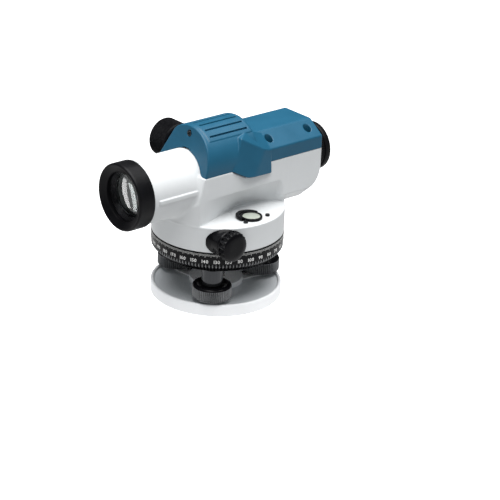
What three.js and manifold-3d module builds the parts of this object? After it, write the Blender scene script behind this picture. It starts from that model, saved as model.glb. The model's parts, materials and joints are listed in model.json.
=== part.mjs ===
// Automatic level: a telescope with a built-in pendulum, turning on a three-screw levelling base.
// Millimetres, +Z up. The origin is on the vertical axis at the underside of the base plate.
// The objective looks along -X, the eyepiece is at +X, the focusing knob is on the +Y side.
import * as THREE from 'three';
import { mergeVertices } from 'three/addons/utils/BufferGeometryUtils.js';
import Module from 'manifold-3d';

const wasm = await Module();
wasm.setup();

// ---------- driving dimensions ----------
const GAP = 0.3; // between neighbouring pieces
const DRUM_R = 55; // turning drum, horizontal circle
const DRUM_BOTTOM_Z = 56.5;
const SHELF_Z = 78.2; // flat top of the drum, where the bubble sits
const WALL = 2.5;
const FACETS = 0.42; // thins every segment count below, for a light model
const FEWEST_FACETS = 12;

const BODY_HALF_W = 31.2; // telescope body, flat sides
const CREASE_Z = 99.4; // below this the sides run in to the neck
const SPLIT_Z = 117.6; // joint line of housing and cover
const BODY_REAR_X = 83.9;
const BODY_BOTTOM_Z = 72; // underside behind the drum
const BODY_FLOOR_Z = 82.5; // inside, over the drum
const REAR_LEDGE_Z = 84.5; // flat sides of the rear end here, and a bevel runs in to the bottom
const REAR_BOTTOM_HALF_W = 17.2;
const REAR_CORNER_R = 14;
const FRONT_FOOT_X = -45.5; // front wall at z = 100, leaning back above it
const FRONT_FOOT_Z = 100;
const FRONT_LEAN = 0.25;

const ROOF_Z = 139.5;
const ROOF_HALF_W = 15.6;
const EAVE_Z = 128.6;
const BARREL_R = 31.2; // arched front part of the cover
const BARREL_Z = 120.8;
const BARREL_REAR_X = 16.3;

const SIGHT_Z = 106.5; // line of sight
const TUBE_R = 26.2;
const TUBE_BORE_R = 23.5;
const TUBE_FRONT_X = -95;
const LENS_R = 18;
const RIM_FRONT_X = -102.4; // rubber rim of the objective
const RIM_BACK_X = -87.4;
const RIM_R = 27.7;
const EYECUP_END_X = 105.1;
const EYECUP_R = 20.7;

const PLATE_R = 54.7; // base plate
const PLATE_RIM_Z = 10.4;
const PLATE_FACE_Z = 8.6;
const SCREW_CIRCLE_R = 40.9; // foot screws
const SCREW_ANGLES = [-134.5, -14.5, 105.5];
const FOOT_KNOB_R = 16.5;
const FOOT_KNOB_Z = [12.2, 24.6];
const FOOT_BUSH_R = 8.7;
const HEAD_Z = [30, 38.9];

const CIRCLE_Z = [39.6, 56.1];
const CIRCLE_BAND_Z = 46.6; // the band with the divisions starts here, above the grip ribs
const SPINDLE_R = 8;
const WHEEL_TEETH = 48;
const WHEEL_R = 26.6;
const TANGENT_X = -31; // endless drive, shaft parallel to Y
const TANGENT_Z = 66.3;
const TANGENT_KNOB_R = 12.7;
const TANGENT_BOSS_R = 9;
const TANGENT_END_Y = 60.6;
const TANGENT_KNOB_LENGTH = 9.2;

const FOCUS_X = -14.4; // focusing knob, shaft parallel to Y
const FOCUS_Z = 122.6;
const FOCUS_KNOB_R = 16.2;
const FOCUS_KNOB_Y = [34.8, 56];
const PINION_R = 2;
const PINION_TEETH = 10;

const BUBBLE = [0.8, -40.7];
const BUBBLE_R = 9;

// ---------- geometry helpers ----------
function cleaned(geometry) {
  const bare = geometry.clone();
  bare.deleteAttribute('normal');
  bare.deleteAttribute('uv');
  const merged = mergeVertices(bare, 1e-4);
  const index = Array.from(merged.index.array);
  const kept = [];
  for (let i = 0; i < index.length; i += 3) {
    const [a, b, c] = index.slice(i, i + 3);
    if (a !== b && b !== c && a !== c) kept.push(a, b, c);
  }
  if (signedVolume(merged.attributes.position, kept) < 0) kept.reverse();
  merged.setIndex(kept);
  return merged;
}

function signedVolume(position, index) {
  const [a, b, c] = [new THREE.Vector3(), new THREE.Vector3(), new THREE.Vector3()];
  let sum = 0;
  for (let i = 0; i < index.length; i += 3) {
    a.fromBufferAttribute(position, index[i]);
    b.fromBufferAttribute(position, index[i + 1]);
    c.fromBufferAttribute(position, index[i + 2]);
    sum += a.dot(b.cross(c));
  }
  return sum;
}

function solid(geometry) {
  const g = cleaned(geometry);
  return new wasm.Manifold(new wasm.Mesh({
    numProp: 3,
    vertProperties: new Float32Array(g.attributes.position.array),
    triVerts: new Uint32Array(g.index.array),
  }));
}

function join(first, ...rest) {
  return rest.reduce((sum, next) => sum.add(next), first);
}

function cut(first, ...rest) {
  return rest.reduce((sum, next) => sum.subtract(next), first);
}

function geometryOf(shape) {
  const mesh = shape.getMesh();
  const g = new THREE.BufferGeometry();
  g.setAttribute('position', new THREE.BufferAttribute(new Float32Array(mesh.vertProperties), 3));
  g.setIndex(Array.from(mesh.triVerts));
  return g;
}

const TURN = {
  x: new THREE.Matrix4().makeRotationZ(-Math.PI / 2),
  y: new THREE.Matrix4(),
  z: new THREE.Matrix4().makeRotationX(Math.PI / 2),
};

// A turned solid: profile points are [radius, distance along the axis].
function turned(profile, axis, segments = 48, at = [0, 0, 0]) {
  const points = profile.map(([r, h]) => new THREE.Vector2(r, h));
  const onAxis = profile[0][0] === 0;
  if (!onAxis) points.push(points[0].clone());
  const facets = Math.max(FEWEST_FACETS, 2 * Math.round((segments * FACETS) / 2));
  const g = new THREE.LatheGeometry(points, facets);
  g.applyMatrix4(TURN[axis]);
  g.translate(...at);
  return solid(g);
}

function rod(r, from, to, axis, segments = 32, at = [0, 0, 0]) {
  return turned([[0, from], [r, from], [r, to], [0, to]], axis, segments, at);
}

function ring(inner, outer, from, to, axis, segments = 48, at = [0, 0, 0]) {
  return turned([[inner, from], [outer, from], [outer, to], [inner, to]], axis, segments, at);
}

function block([x0, x1], [y0, y1], [z0, z1]) {
  const g = new THREE.BoxGeometry(x1 - x0, y1 - y0, z1 - z0);
  g.translate((x0 + x1) / 2, (y0 + y1) / 2, (z0 + z1) / 2);
  return solid(g);
}

const AXES = {
  x: new THREE.Vector3(1, 0, 0),
  y: new THREE.Vector3(0, 1, 0),
  z: new THREE.Vector3(0, 0, 1),
};

// An outline drawn square to one axis and pulled along it from one place to another.
function prism(outline, along, from, to) {
  const shape = new THREE.Shape(outline.map(([u, v]) => new THREE.Vector2(u, v)));
  const g = new THREE.ExtrudeGeometry(shape, { depth: to - from, bevelEnabled: false });
  const basis = new THREE.Matrix4();
  if (along === 'x') basis.makeBasis(AXES.y, AXES.z, AXES.x).setPosition(from, 0, 0);
  if (along === 'y') basis.makeBasis(AXES.x, AXES.z, AXES.y.clone().negate()).setPosition(0, to, 0);
  if (along === 'z') basis.makeBasis(AXES.x, AXES.y, AXES.z).setPosition(0, 0, from);
  g.applyMatrix4(basis);
  return solid(g);
}

// A large block whose near face is a plane, for cutting away all that lies beyond it.
function beyond(point, normal) {
  const size = 120;
  const g = new THREE.BoxGeometry(size, size, size);
  g.translate(0, 0, size / 2);
  const turn = new THREE.Quaternion().setFromUnitVectors(AXES.z, normal.clone().normalize());
  g.applyQuaternion(turn);
  g.translate(...point);
  return solid(g);
}

function arcPoints(cx, cy, r, fromDeg, toDeg, steps) {
  return Array.from({ length: steps + 1 }, (_, i) => {
    const a = THREE.MathUtils.degToRad(fromDeg + ((toDeg - fromDeg) * i) / steps);
    return [cx + r * Math.cos(a), cy + r * Math.sin(a)];
  });
}

function interpolate(table, x) {
  const last = table.length - 1;
  if (x <= table[0][0]) return table[0][1];
  if (x >= table[last][0]) return table[last][1];
  const i = table.findIndex(([px]) => px >= x);
  const [x0, y0] = table[i - 1];
  const [x1, y1] = table[i];
  return y0 + ((y1 - y0) * (x - x0)) / (x1 - x0);
}

function screwPlace(i, radius = SCREW_CIRCLE_R) {
  const a = THREE.MathUtils.degToRad(SCREW_ANGLES[i]);
  return [radius * Math.cos(a), radius * Math.sin(a)];
}

// ---------- materials ----------
function finish(color, roughness, metalness) {
  return () => new THREE.MeshStandardMaterial({ color, roughness, metalness });
}
const silverPaint = finish(0xc9ccce, 0.42, 0.3);
const bluePlastic = finish(0x1f6d94, 0.45, 0.0);
const blackPlastic = finish(0x1c1d1f, 0.45, 0.0);
const blackRubber = finish(0x17181a, 0.7, 0.0);
const blackAnodised = finish(0x22242a, 0.35, 0.6);
const steel = finish(0xb8babd, 0.3, 1.0);
const brass = finish(0xb5924c, 0.35, 1.0);
const whitePaint = finish(0xe6e7e8, 0.4, 0.1);
const greyCasting = finish(0x4b4f54, 0.5, 0.5);
const glass = finish(0xc8dde0, 0.05, 0.0);
const yellowFluid = finish(0xd8e08a, 0.1, 0.0);

const level = new THREE.Group();
level.name = 'automatic_level';

function place(name, shape, material) {
  const mesh = new THREE.Mesh(geometryOf(shape), material());
  mesh.name = name;
  level.add(mesh);
}

// ---------- base ----------
function basePlate() {
  return turned([
    [13, 0], [PLATE_R - 1.5, 0], [PLATE_R, 1.5], [PLATE_R, PLATE_RIM_Z - 1.6],
    [PLATE_R - 0.5, PLATE_RIM_Z - 0.5], [PLATE_R - 1.6, PLATE_RIM_Z], [PLATE_R - 2.4, PLATE_RIM_Z],
    [PLATE_R - 3.2, PLATE_FACE_Z], [13, PLATE_FACE_Z],
  ], 'z', 72);
}

function threadInsert() {
  return turned([[7.9, 0.4], [12.7, 0.4], [12.7, 9.5], [9.4, 9.5], [7.9, 9]], 'z', 36);
}

const SPRING_Z = [PLATE_FACE_Z + 0.1, PLATE_FACE_Z + 1.1];
const SPRING_HUB_Z = 13.6;
const SPRING_HUB_R = 22.3;
const SPRING_SCREW_R = 26;

function springPlate() {
  const hub = rod(SPRING_HUB_R, SPRING_Z[0], SPRING_HUB_Z, 'z', 60);
  const arms = SCREW_ANGLES.map((deg) => (
    prism([[17, -10], [46, -5.5], [46, 5.5], [17, 10]], 'z', ...SPRING_Z).rotate([0, 0, deg])
  ));
  const footHoles = SCREW_ANGLES.map((_, i) => rod(4.6, 0, 20, 'z', 24, [...screwPlace(i), 0]));
  const screwHoles = SCREW_ANGLES.map((_, i) => (
    rod(1.9, 0, 20, 'z', 12, [...screwPlace(i, SPRING_SCREW_R), 0])
  ));
  return cut(join(hub, ...arms), rod(13.2, 0, 20, 'z', 48), ...footHoles, ...screwHoles);
}

function springScrew(i) {
  const low = SPRING_Z[1] + 0.1;
  const high = SPRING_Z[1] + 1.8;
  const at = [...screwPlace(i, SPRING_SCREW_R), 0];
  return turned([[0, low], [3.2, low], [3.2, high - 0.8], [2.4, high], [0, high]], 'z', 20, at);
}

function levellingHead() {
  const hub = ring(SPINDLE_R + GAP, 24, HEAD_Z[0], HEAD_Z[1], 'z', 48);
  const collar = ring(SPINDLE_R + GAP, 13.4, HEAD_Z[1] - 0.5, 50.5, 'z', 36);
  const arms = SCREW_ANGLES.map((deg) => (
    prism([[10, -13], [36, -9.5], [36, 9.5], [10, 13]], 'z', ...HEAD_Z).rotate([0, 0, deg])
  ));
  const seats = SCREW_ANGLES.map((_, i) => rod(FOOT_BUSH_R + GAP, 0, 60, 'z', 32, [...screwPlace(i), 0]));
  const centre = rod(SPINDLE_R + GAP, 0, 60, 'z', 36);
  return cut(join(hub, collar, ...arms), ...seats, centre);
}

function spindle() {
  return turned([
    [0, 29], [15, 29], [15, 29.7], [SPINDLE_R, 29.7], [SPINDLE_R, 82], [5.5, 82], [5.5, 89], [0, 89],
  ], 'z', 36);
}

function spindleNut() {
  return turned([[5.8, 83.2], [10.5, 83.2], [10.5, 87.4], [9.5, 88.2], [5.8, 88.2]], 'z', 12);
}

function footBush(i) {
  const low = FOOT_KNOB_Z[1] - 0.6; // dips into the knob's dished top
  return turned([
    [4.3, low], [FOOT_BUSH_R - 0.6, low], [FOOT_BUSH_R, low + 0.6], [FOOT_BUSH_R, HEAD_Z[1]],
    [4.3, HEAD_Z[1]],
  ], 'z', 32, [...screwPlace(i), 0]);
}

// ---------- foot screws ----------
function footStem(i) {
  return turned([[0, 9], [2.6, 9.4], [3.8, 10.6], [3.9, 11.6], [3.9, HEAD_Z[1] - 0.4], [0, HEAD_Z[1] - 0.4]],
    'z', 24, [...screwPlace(i), 0]);
}

function footKnob(i) {
  const [low, high] = FOOT_KNOB_Z;
  return turned([
    [4.2, low], [FOOT_KNOB_R - 1.9, low], [FOOT_KNOB_R, low + 1.4], [FOOT_KNOB_R, high - 1.6],
    [FOOT_KNOB_R - 1, high], [12.2, high], [11.4, high - 1], [4.2, high - 1],
  ], 'z', 40, [...screwPlace(i), 0]);
}

// ---------- horizontal circle and drive ----------
function horizontalCircle() {
  const [low, high] = CIRCLE_Z;
  return turned([
    [DRUM_R - 6.6, low], [DRUM_R - 5.6, low + 0.6], [DRUM_R - 1.3, CIRCLE_BAND_Z - 1.8],
    [DRUM_R - 0.3, CIRCLE_BAND_Z - 0.8], [DRUM_R, CIRCLE_BAND_Z], [DRUM_R, high - 0.4],
    [DRUM_R - 0.4, high], [DRUM_R - 2.6, high], [DRUM_R - 3.2, 49.4], [13.8, 49.4], [13.8, 46.4],
    [DRUM_R - 4.6, 46.4], [DRUM_R - 9, low],
  ], 'z', 72);
}

function wheelOutline() {
  const pitch = (2 * Math.PI) / WHEEL_TEETH;
  const rootR = WHEEL_R - 1.5;
  const corners = [[rootR, 0], [rootR, 0.3], [WHEEL_R, 0.52], [WHEEL_R, 0.78]];
  const outline = [];
  for (let i = 0; i < WHEEL_TEETH; i += 1) {
    for (const [r, share] of corners) {
      const a = (i + share) * pitch;
      outline.push([r * Math.cos(a), r * Math.sin(a)]);
    }
  }
  return outline;
}

function driveWheel() {
  const rim = prism(wheelOutline(), 'z', TANGENT_Z - 3, TANGENT_Z + 3);
  const hub = rod(14, 60, 73.4, 'z', 36);
  return cut(join(rim, hub), rod(SPINDLE_R + GAP, 50, 80, 'z', 36));
}

function tangentShaft() {
  const worm = [];
  for (let y = -5; y < 4; y += 2) worm.push([2.9, y], [4, y + 0.7], [4, y + 1.1], [2.9, y + 1.8]);
  const end = TANGENT_END_Y - 5.6;
  const profile = [[0, -end], [3, -end], ...worm, [3, end], [0, end]];
  return turned(profile, 'y', 20, [TANGENT_X, 0, TANGENT_Z]);
}

function tangentKnob(side) {
  const inner = TANGENT_END_Y - TANGENT_KNOB_LENGTH;
  const socket = TANGENT_END_Y - 5.3;
  const profile = [
    [0, socket], [3 + GAP, socket], [3 + GAP, inner], [TANGENT_KNOB_R - 1.2, inner],
    [TANGENT_KNOB_R, inner + 1.2], [TANGENT_KNOB_R, TANGENT_END_Y - 2.4],
    [TANGENT_KNOB_R - 1.6, TANGENT_END_Y - 0.6], [8, TANGENT_END_Y], [0, TANGENT_END_Y],
  ];
  return turned(profile.map(([r, y]) => [r, side * y]), 'y', 40, [TANGENT_X, 0, TANGENT_Z]);
}

function tangentBoss(side) {
  const reach = [30, TANGENT_END_Y - TANGENT_KNOB_LENGTH - GAP].map((y) => side * y).sort((a, b) => a - b);
  const sleeve = ring(3 + GAP, TANGENT_BOSS_R, ...reach, 'y', 32, [TANGENT_X, 0, TANGENT_Z]);
  return cut(sleeve, rod(DRUM_R + GAP, 40, 100, 'z', 96));
}

// ---------- housing ----------
// Half width of the neck where it stands on the shelf, by position along the telescope.
const NECK_FOOT = [[-41.6, 31.2], [11.3, 11.7], [24.8, 13.8], [32.2, 18], [40.9, 24.6], [47.5, 31.2]];

function neck() {
  const low = SHELF_Z - 2;
  const g = new THREE.BoxGeometry(112, 2, CREASE_Z - low, 28, 1, 4);
  g.translate(0, 0, (CREASE_Z + low) / 2);
  const p = g.attributes.position;
  for (let i = 0; i < p.count; i += 1) {
    const t = Math.min(1, (CREASE_Z - p.getZ(i)) / (CREASE_Z - SHELF_Z));
    const foot = interpolate(NECK_FOOT, p.getX(i));
    p.setY(i, p.getY(i) * (BODY_HALF_W + (foot - BODY_HALF_W) * t));
  }
  return solid(g).intersect(rod(DRUM_R, 0, 200, 'z', 96));
}

// Cross-section behind the drum: flat sides down to a ledge, then a bevel to the bottom.
function rearSection(inset) {
  const w = BODY_HALF_W - inset;
  const bottom = REAR_BOTTOM_HALF_W - inset;
  const ledge = REAR_LEDGE_Z + inset / 2;
  const low = BODY_BOTTOM_Z + inset;
  return [[w, SPLIT_Z], [-w, SPLIT_Z], [-w, ledge], [-bottom, low], [bottom, low], [w, ledge]];
}

function rearBody(from, inset) {
  const end = BODY_REAR_X - inset;
  const r = REAR_CORNER_R - inset;
  const low = BODY_BOTTOM_Z + inset;
  const corner = arcPoints(end - r, low + r, r, 270, 360, 6);
  const side = prism([[0, SPLIT_Z], [0, low], ...corner, [end, SPLIT_Z]], 'y', -60, 60);
  return prism(rearSection(inset), 'x', from, end).intersect(side);
}

function frontCutter() {
  const foot = [FRONT_FOOT_X, FRONT_FOOT_Z];
  const top = [FRONT_FOOT_X + FRONT_LEAN * 80, FRONT_FOOT_Z + 80];
  return prism([[-80, FRONT_FOOT_Z], foot, top, [-80, FRONT_FOOT_Z + 80]], 'y', -60, 60);
}

function tubeRibs() {
  const outer = TUBE_R + 1.1;
  const top = block([RIM_BACK_X + 1, FRONT_FOOT_X + 6], [-4, 4], [SIGHT_Z + TUBE_R - 3, SIGHT_Z + outer]);
  const sides = [-1, 1].map((side) => {
    const [from, to] = [side * outer, side * (outer - 4)].sort((a, b) => a - b);
    return block([RIM_BACK_X + 5, FRONT_FOOT_X + 1], [from, to], [SIGHT_Z - 2.8, SIGHT_Z + 1.2]);
  });
  return join(top, ...sides);
}

// The hood on each side of the cover ends in a flap that hangs over the housing.
// Its corners are [x, distance from the middle, z].
const FLAP_START = [-12.4, 31.7, SPLIT_Z];
const FLAP_TIP = [1.2, 36.2, 110.6];
const FLAP_REAR = [27.8, 32.9, 108.6];
const HOOD_TOP = [-0.8, 26.9, 141.9];
const HOOD_EAVE = [20.3, 31.9, 129.8];
const HOOD_CHAMFER = new THREE.Vector3(0.265, 0.619, 0.739);
const POCKET_DEPTH = 1.8;

function flapPocket(side) {
  const [left, tip, rear] = [FLAP_START, FLAP_TIP, FLAP_REAR].map(([x, , z]) => [x, z]);
  const outline = [
    [left[0] - 1, SPLIT_Z + 2], [left[0] - 1, SPLIT_Z], [tip[0] - 0.2, tip[1] - 0.6],
    [rear[0] + 0.5, rear[1] - 0.5], [rear[0] + 0.5, SPLIT_Z + 2],
  ];
  const [from, to] = [side * (BODY_HALF_W - POCKET_DEPTH), side * 45].sort((a, b) => a - b);
  return prism(outline, 'y', from, to);
}

function housing() {
  const box = block([-56, BODY_REAR_X], [-BODY_HALF_W, BODY_HALF_W], [CREASE_Z, SPLIT_Z]);
  const aheadOfDrum = cut(block([-60, 0], [-60, 60], [90, 130]), rod(DRUM_R, 0, 200, 'z', 96));
  const front = cut(box, frontCutter(), aheadOfDrum, block([70, 90], [-60, 60], [90, 130]));
  const drum = rod(DRUM_R, DRUM_BOTTOM_Z, SHELF_Z, 'z', 96);
  const tube = rod(TUBE_R, TUBE_FRONT_X, -36.5, 'x', 64, [0, 0, SIGHT_Z]);
  const outer = join(front, rearBody(40, 0), drum, neck(), tube, tubeRibs());
  const inner = BODY_HALF_W - WALL;
  const rearInner = BODY_REAR_X - WALL;
  const cavities = [
    rod(DRUM_R - 3.5, DRUM_BOTTOM_Z - 1, SHELF_Z - 3.2, 'z', 72),
    block([-38, rearInner], [-inner, inner], [CREASE_Z, SPLIT_Z + 1]),
    block([-38, 62], [-16, 16], [90, CREASE_Z + 1]),
    block([29.4, 64.6], [-19.6, 19.6], [CREASE_Z - 3.4, CREASE_Z + 1]),
    rod(11.5, BODY_FLOOR_Z, 92, 'z', 36),
    rearBody(DRUM_R + 1, WALL),
    block([-36.4, rearInner], [-inner, inner], [SPLIT_Z - 1, 150]),
    rod(TUBE_BORE_R, TUBE_FRONT_X - 1, -30, 'x', 64, [0, 0, SIGHT_Z]),
    rod(11.3, 60, 90, 'z', 36),
    rod(7.2, 70, 80, 'z', 32, [...BUBBLE, 0]),
    rod(13.4, 78, 90, 'x', 40, [0, 0, SIGHT_Z]),
    rod(4.4, -60, 60, 'y', 20, [TANGENT_X, 0, TANGENT_Z]),
  ];
  const tubeEnd = ring(TUBE_BORE_R, TUBE_R, -39, -33, 'x', 64, [0, 0, SIGHT_Z]);
  return join(cut(outer, ...cavities, flapPocket(-1), flapPocket(1)), tubeEnd);
}

function bearingBush() {
  const bore = SPINDLE_R + GAP;
  return turned([[bore, 74.2], [13.5, 74.2], [13.5, 74.9], [11, 74.9], [11, 82.6], [bore, 82.6]], 'z', 36);
}

// ---------- cover ----------
function roofSection(inset) {
  const w = BODY_HALF_W - inset;
  const floor = SPLIT_Z - (inset ? 1 : 0);
  const eave = EAVE_Z - inset * 0.5;
  const ridge = ROOF_HALF_W - inset * 0.4;
  const roof = ROOF_Z - inset;
  return [[w, floor], [w, eave], [ridge, roof], [-ridge, roof], [-w, eave], [-w, floor]];
}

function barrelSection(inset) {
  const floor = SPLIT_Z - (inset ? 1 : 0);
  const w = BODY_HALF_W - inset;
  return [[w, floor], ...arcPoints(0, BARREL_Z, BARREL_R - inset, 10, 170, 28), [-w, floor]];
}

// All that lies outside the plane of three corners, on one side of the telescope.
function outside(side, ...corners) {
  const [a, b, c] = corners.map(([x, y, z]) => new THREE.Vector3(x, side * y, z));
  const normal = b.clone().sub(a).cross(c.clone().sub(a));
  if (normal.y * side < 0) normal.negate();
  return beyond(a.toArray(), normal);
}

// The hood closes the step from the barrel down to the flat side.
function hood(side) {
  const outline = [FLAP_START, FLAP_TIP, FLAP_REAR].map(([x, , z]) => [x, z]);
  outline.push([FLAP_REAR[0], 146], [1.2, 146]);
  const [from, to] = [side * 18, side * 40].sort((a, b) => a - b);
  const chamfer = HOOD_CHAMFER.clone().setY(side * HOOD_CHAMFER.y);
  return cut(
    prism(outline, 'y', from, to),
    outside(side, HOOD_TOP, HOOD_EAVE, FLAP_START),
    outside(side, HOOD_EAVE, FLAP_TIP, FLAP_REAR),
    beyond([HOOD_TOP[0], side * HOOD_TOP[1], HOOD_TOP[2]], chamfer),
    block([-60, 60], [-BODY_HALF_W + 1.5, BODY_HALF_W - 1.5], [90, SPLIT_Z + GAP]),
  );
}

const SCREW_PLACES = [[32, -22.6], [74, -22.6], [32, 22.6], [74, 22.6]];
const SCREW_SEAT_Z = 128;
const FRONT_SCREW_Z = 145.5;

function topCover() {
  const barrel = prism(barrelSection(0), 'x', -56, BARREL_REAR_X);
  const rear = prism(roofSection(0), 'x', BARREL_REAR_X - 6, BODY_REAR_X);
  const outer = join(cut(join(barrel, rear), frontCutter()), hood(-1), hood(1));
  const insideEnd = BARREL_REAR_X - 3;
  const frontInside = prism([[-36, 100], [-28, 160], [insideEnd, 160], [insideEnd, 100]], 'y', -60, 60);
  const barrelInside = prism(barrelSection(WALL), 'x', -50, BARREL_REAR_X - 2).intersect(frontInside);
  const rearInside = prism(roofSection(WALL), 'x', BARREL_REAR_X - 8, BODY_REAR_X - WALL);
  const pillars = SCREW_PLACES.map(([x, y]) => (
    rod(4.6, SCREW_SEAT_Z - 3.8, 145, 'z', 20, [x, y, 0]).intersect(rear)
  ));
  const pillarBar = rod(4.2, -60, -27, 'x', 20, [0, 0, FRONT_SCREW_Z]);
  const frontPillar = pillarBar.intersect(cut(barrel, frontCutter()));
  const openings = [
    ...SCREW_PLACES.map(([x, y]) => rod(2.9, SCREW_SEAT_Z, 150, 'z', 20, [x, y, 0])),
    rod(2.6, -60, -31.2, 'x', 20, [0, 0, FRONT_SCREW_Z]),
    rod(TUBE_R + GAP, -60, -30, 'x', 64, [0, 0, SIGHT_Z]),
    block([-60, -30], [-4.4, 4.4], [SIGHT_Z + TUBE_R - 3, SIGHT_Z + TUBE_R + 1.4]),
    rod(13.4, 78, 90, 'x', 40, [0, 0, SIGHT_Z]),
    rod(4.6, 10, 60, 'y', 24, [FOCUS_X, 0, FOCUS_Z]),
  ];
  const shell = join(cut(outer, barrelInside, rearInside), ...pillars, frontPillar);
  return cut(shell, ...openings, ...grooves());
}

function grooves() {
  return [-35, -21, -7, 7, 21, 35].map((deg) => {
    const slot = block([-26, 12.5], [-0.7, 0.7], [BARREL_R - 0.9, BARREL_R + 3]);
    return slot.rotate([deg, 0, 0]).translate([0, 0, BARREL_Z]);
  });
}

function coverScrew(i) {
  const [x, y] = SCREW_PLACES[i];
  const low = SCREW_SEAT_Z + 0.1;
  const high = SCREW_SEAT_Z + 2.2;
  return turned([
    [0, low], [2.5, low], [2.5, high - 0.4], [2, high], [1.2, high], [1.2, high - 1], [0, high - 1],
  ], 'z', 18, [x, y, 0]);
}

function frontScrew() {
  return turned([
    [0, -32.4], [1.2, -32.4], [1.2, -33.2], [2.2, -33.2], [2.3, -32.8], [2.3, -31.4], [0, -31.4],
  ], 'x', 18, [0, 0, FRONT_SCREW_Z]);
}

// ---------- telescope ----------
function objectiveRim() {
  return turned([
    [TUBE_R + GAP, RIM_BACK_X], [RIM_R - 0.4, RIM_BACK_X], [RIM_R, RIM_BACK_X - 0.6],
    [RIM_R, RIM_FRONT_X + 2.2], [RIM_R - 0.6, RIM_FRONT_X + 0.8], [RIM_R - 2.2, RIM_FRONT_X],
    [RIM_R - 3.4, RIM_FRONT_X + 0.2], [20.4, RIM_FRONT_X + 2.6], [20.2, TUBE_FRONT_X - GAP],
    [TUBE_R + GAP, TUBE_FRONT_X - GAP],
  ], 'x', 60, [0, 0, SIGHT_Z]);
}

function objectiveCell() {
  return turned([
    [TUBE_BORE_R - GAP, -94.8], [TUBE_BORE_R - GAP, -78], [17, -78], [17, -86.2], [LENS_R + GAP, -86.2],
    [LENS_R + GAP, -92.6], [20, -94.8],
  ], 'x', 48, [0, 0, SIGHT_Z]);
}

function objectiveLens() {
  const front = [[0, -93.4], [6, -93.1], [12, -92.2], [LENS_R, -90.6]];
  return turned([...front, [LENS_R, -86.6], [12, -87], [0, -87.4]], 'x', 40, [0, 0, SIGHT_Z]);
}

function focusGuide() {
  const sleeve = ring(13.3, 15.2, -32, 22, 'x', 40, [0, 0, SIGHT_Z]);
  const slot = block([-40, 12], [-3.4, 3.4], [SIGHT_Z + 8, SIGHT_Z + 20]);
  const shaftNotch = rod(3.6, 0, 30, 'y', 20, [FOCUS_X, 0, FOCUS_Z]);
  const feet = [-30, 14].map((x) => block([x, x + 5], [-9, 9], [90.2, SIGHT_Z - 12]));
  return cut(join(sleeve, ...feet), slot, shaftNotch, rod(13.3, -40, 30, 'x', 40, [0, 0, SIGHT_Z]));
}

function rack() {
  const pitch = (2 * Math.PI * PINION_R) / PINION_TEETH;
  const top = FOCUS_Z - PINION_R + 0.35;
  const root = FOCUS_Z - PINION_R - 0.6;
  const half = 10.6;
  const outline = [[FOCUS_X - half, root - 3], [FOCUS_X + half, root - 3], [FOCUS_X + half, root]];
  for (let i = 8; i >= -8; i -= 1) {
    const x = FOCUS_X + i * pitch;
    outline.push([x + 0.26, root], [x + 0.12, top], [x - 0.12, top], [x - 0.26, root]);
  }
  outline.push([FOCUS_X - half, root]);
  return prism(outline, 'y', -2.5, 2.5);
}

function focusCarriage() {
  const cell = ring(9.2, 13, -24, -6, 'x', 40, [0, 0, SIGHT_Z]);
  const web = block([-20, -9], [-2.5, 2.5], [SIGHT_Z + 12, FOCUS_Z - PINION_R - 1.2]);
  return join(cell, web, rack());
}

function focusLens() {
  return turned([
    [0, -14.2], [5, -14.6], [9, -15.6], [9, -10.4], [5, -11.4], [0, -11.8],
  ], 'x', 32, [0, 0, SIGHT_Z]);
}

function pinionOutline() {
  const pitch = (2 * Math.PI) / PINION_TEETH;
  const root = PINION_R - 0.75;
  const tip = PINION_R + 0.4;
  const outline = [];
  for (let i = 0; i < PINION_TEETH; i += 1) {
    for (const [r, share] of [[root, -0.2], [tip, -0.07], [tip, 0.07], [root, 0.2]]) {
      const a = (i + 0.5 + share) * pitch - Math.PI / 2;
      outline.push([r * Math.cos(a) + FOCUS_X, r * Math.sin(a) + FOCUS_Z]);
    }
  }
  return outline;
}

function focusShaft() {
  const pinion = prism(pinionOutline(), 'y', -2.5, 3.5);
  const shaft = rod(3, 3.4, 52, 'y', 20, [FOCUS_X, 0, FOCUS_Z]);
  const nose = rod(1, -6, 4, 'y', 12, [FOCUS_X, 0, FOCUS_Z]);
  return join(pinion, shaft, nose);
}

function focusCollar() {
  const sleeve = ring(3 + GAP, 12.6, BODY_HALF_W - 2, FOCUS_KNOB_Y[0] - 0.3, 'y', 40, [FOCUS_X, 0, FOCUS_Z]);
  return cut(
    sleeve,
    prism(barrelSection(-GAP), 'x', -60, 40),
    hood(1).translate([0, GAP, 0]),
    hood(1).translate([-GAP, 0, 0]),
    block([-60, 60], [0, BODY_HALF_W + GAP], [90, BARREL_Z]),
  );
}

function focusKnob() {
  const [inner, outer] = FOCUS_KNOB_Y;
  return turned([
    [0, 52.3], [3 + GAP, 52.3], [3 + GAP, inner], [FOCUS_KNOB_R - 1.2, inner], [FOCUS_KNOB_R, inner + 1],
    [FOCUS_KNOB_R, outer - 1.6], [FOCUS_KNOB_R - 1.8, outer], [0, outer],
  ], 'y', 48, [FOCUS_X, 0, FOCUS_Z]);
}

// ---------- compensator ----------
const PENDULUM_X = 46;
const PENDULUM_PIVOT_Z = 121;

function compensatorFrame() {
  const outer = block([30, 64], [-19, 19], [CREASE_Z - 2.8, 123.9]);
  const inside = block([32.4, 61.6], [-16.6, 16.6], [CREASE_Z - 4, 130]);
  const light = rod(11, 20, 70, 'x', 32, [0, 0, SIGHT_Z]);
  const pinHole = rod(1.8, -30, 30, 'y', 16, [PENDULUM_X, 0, PENDULUM_PIVOT_Z]);
  return cut(outer, inside, light, pinHole);
}

function pendulumPivot() {
  return rod(1.5, -18.8, 18.8, 'y', 16, [PENDULUM_X, 0, PENDULUM_PIVOT_Z]);
}

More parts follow.
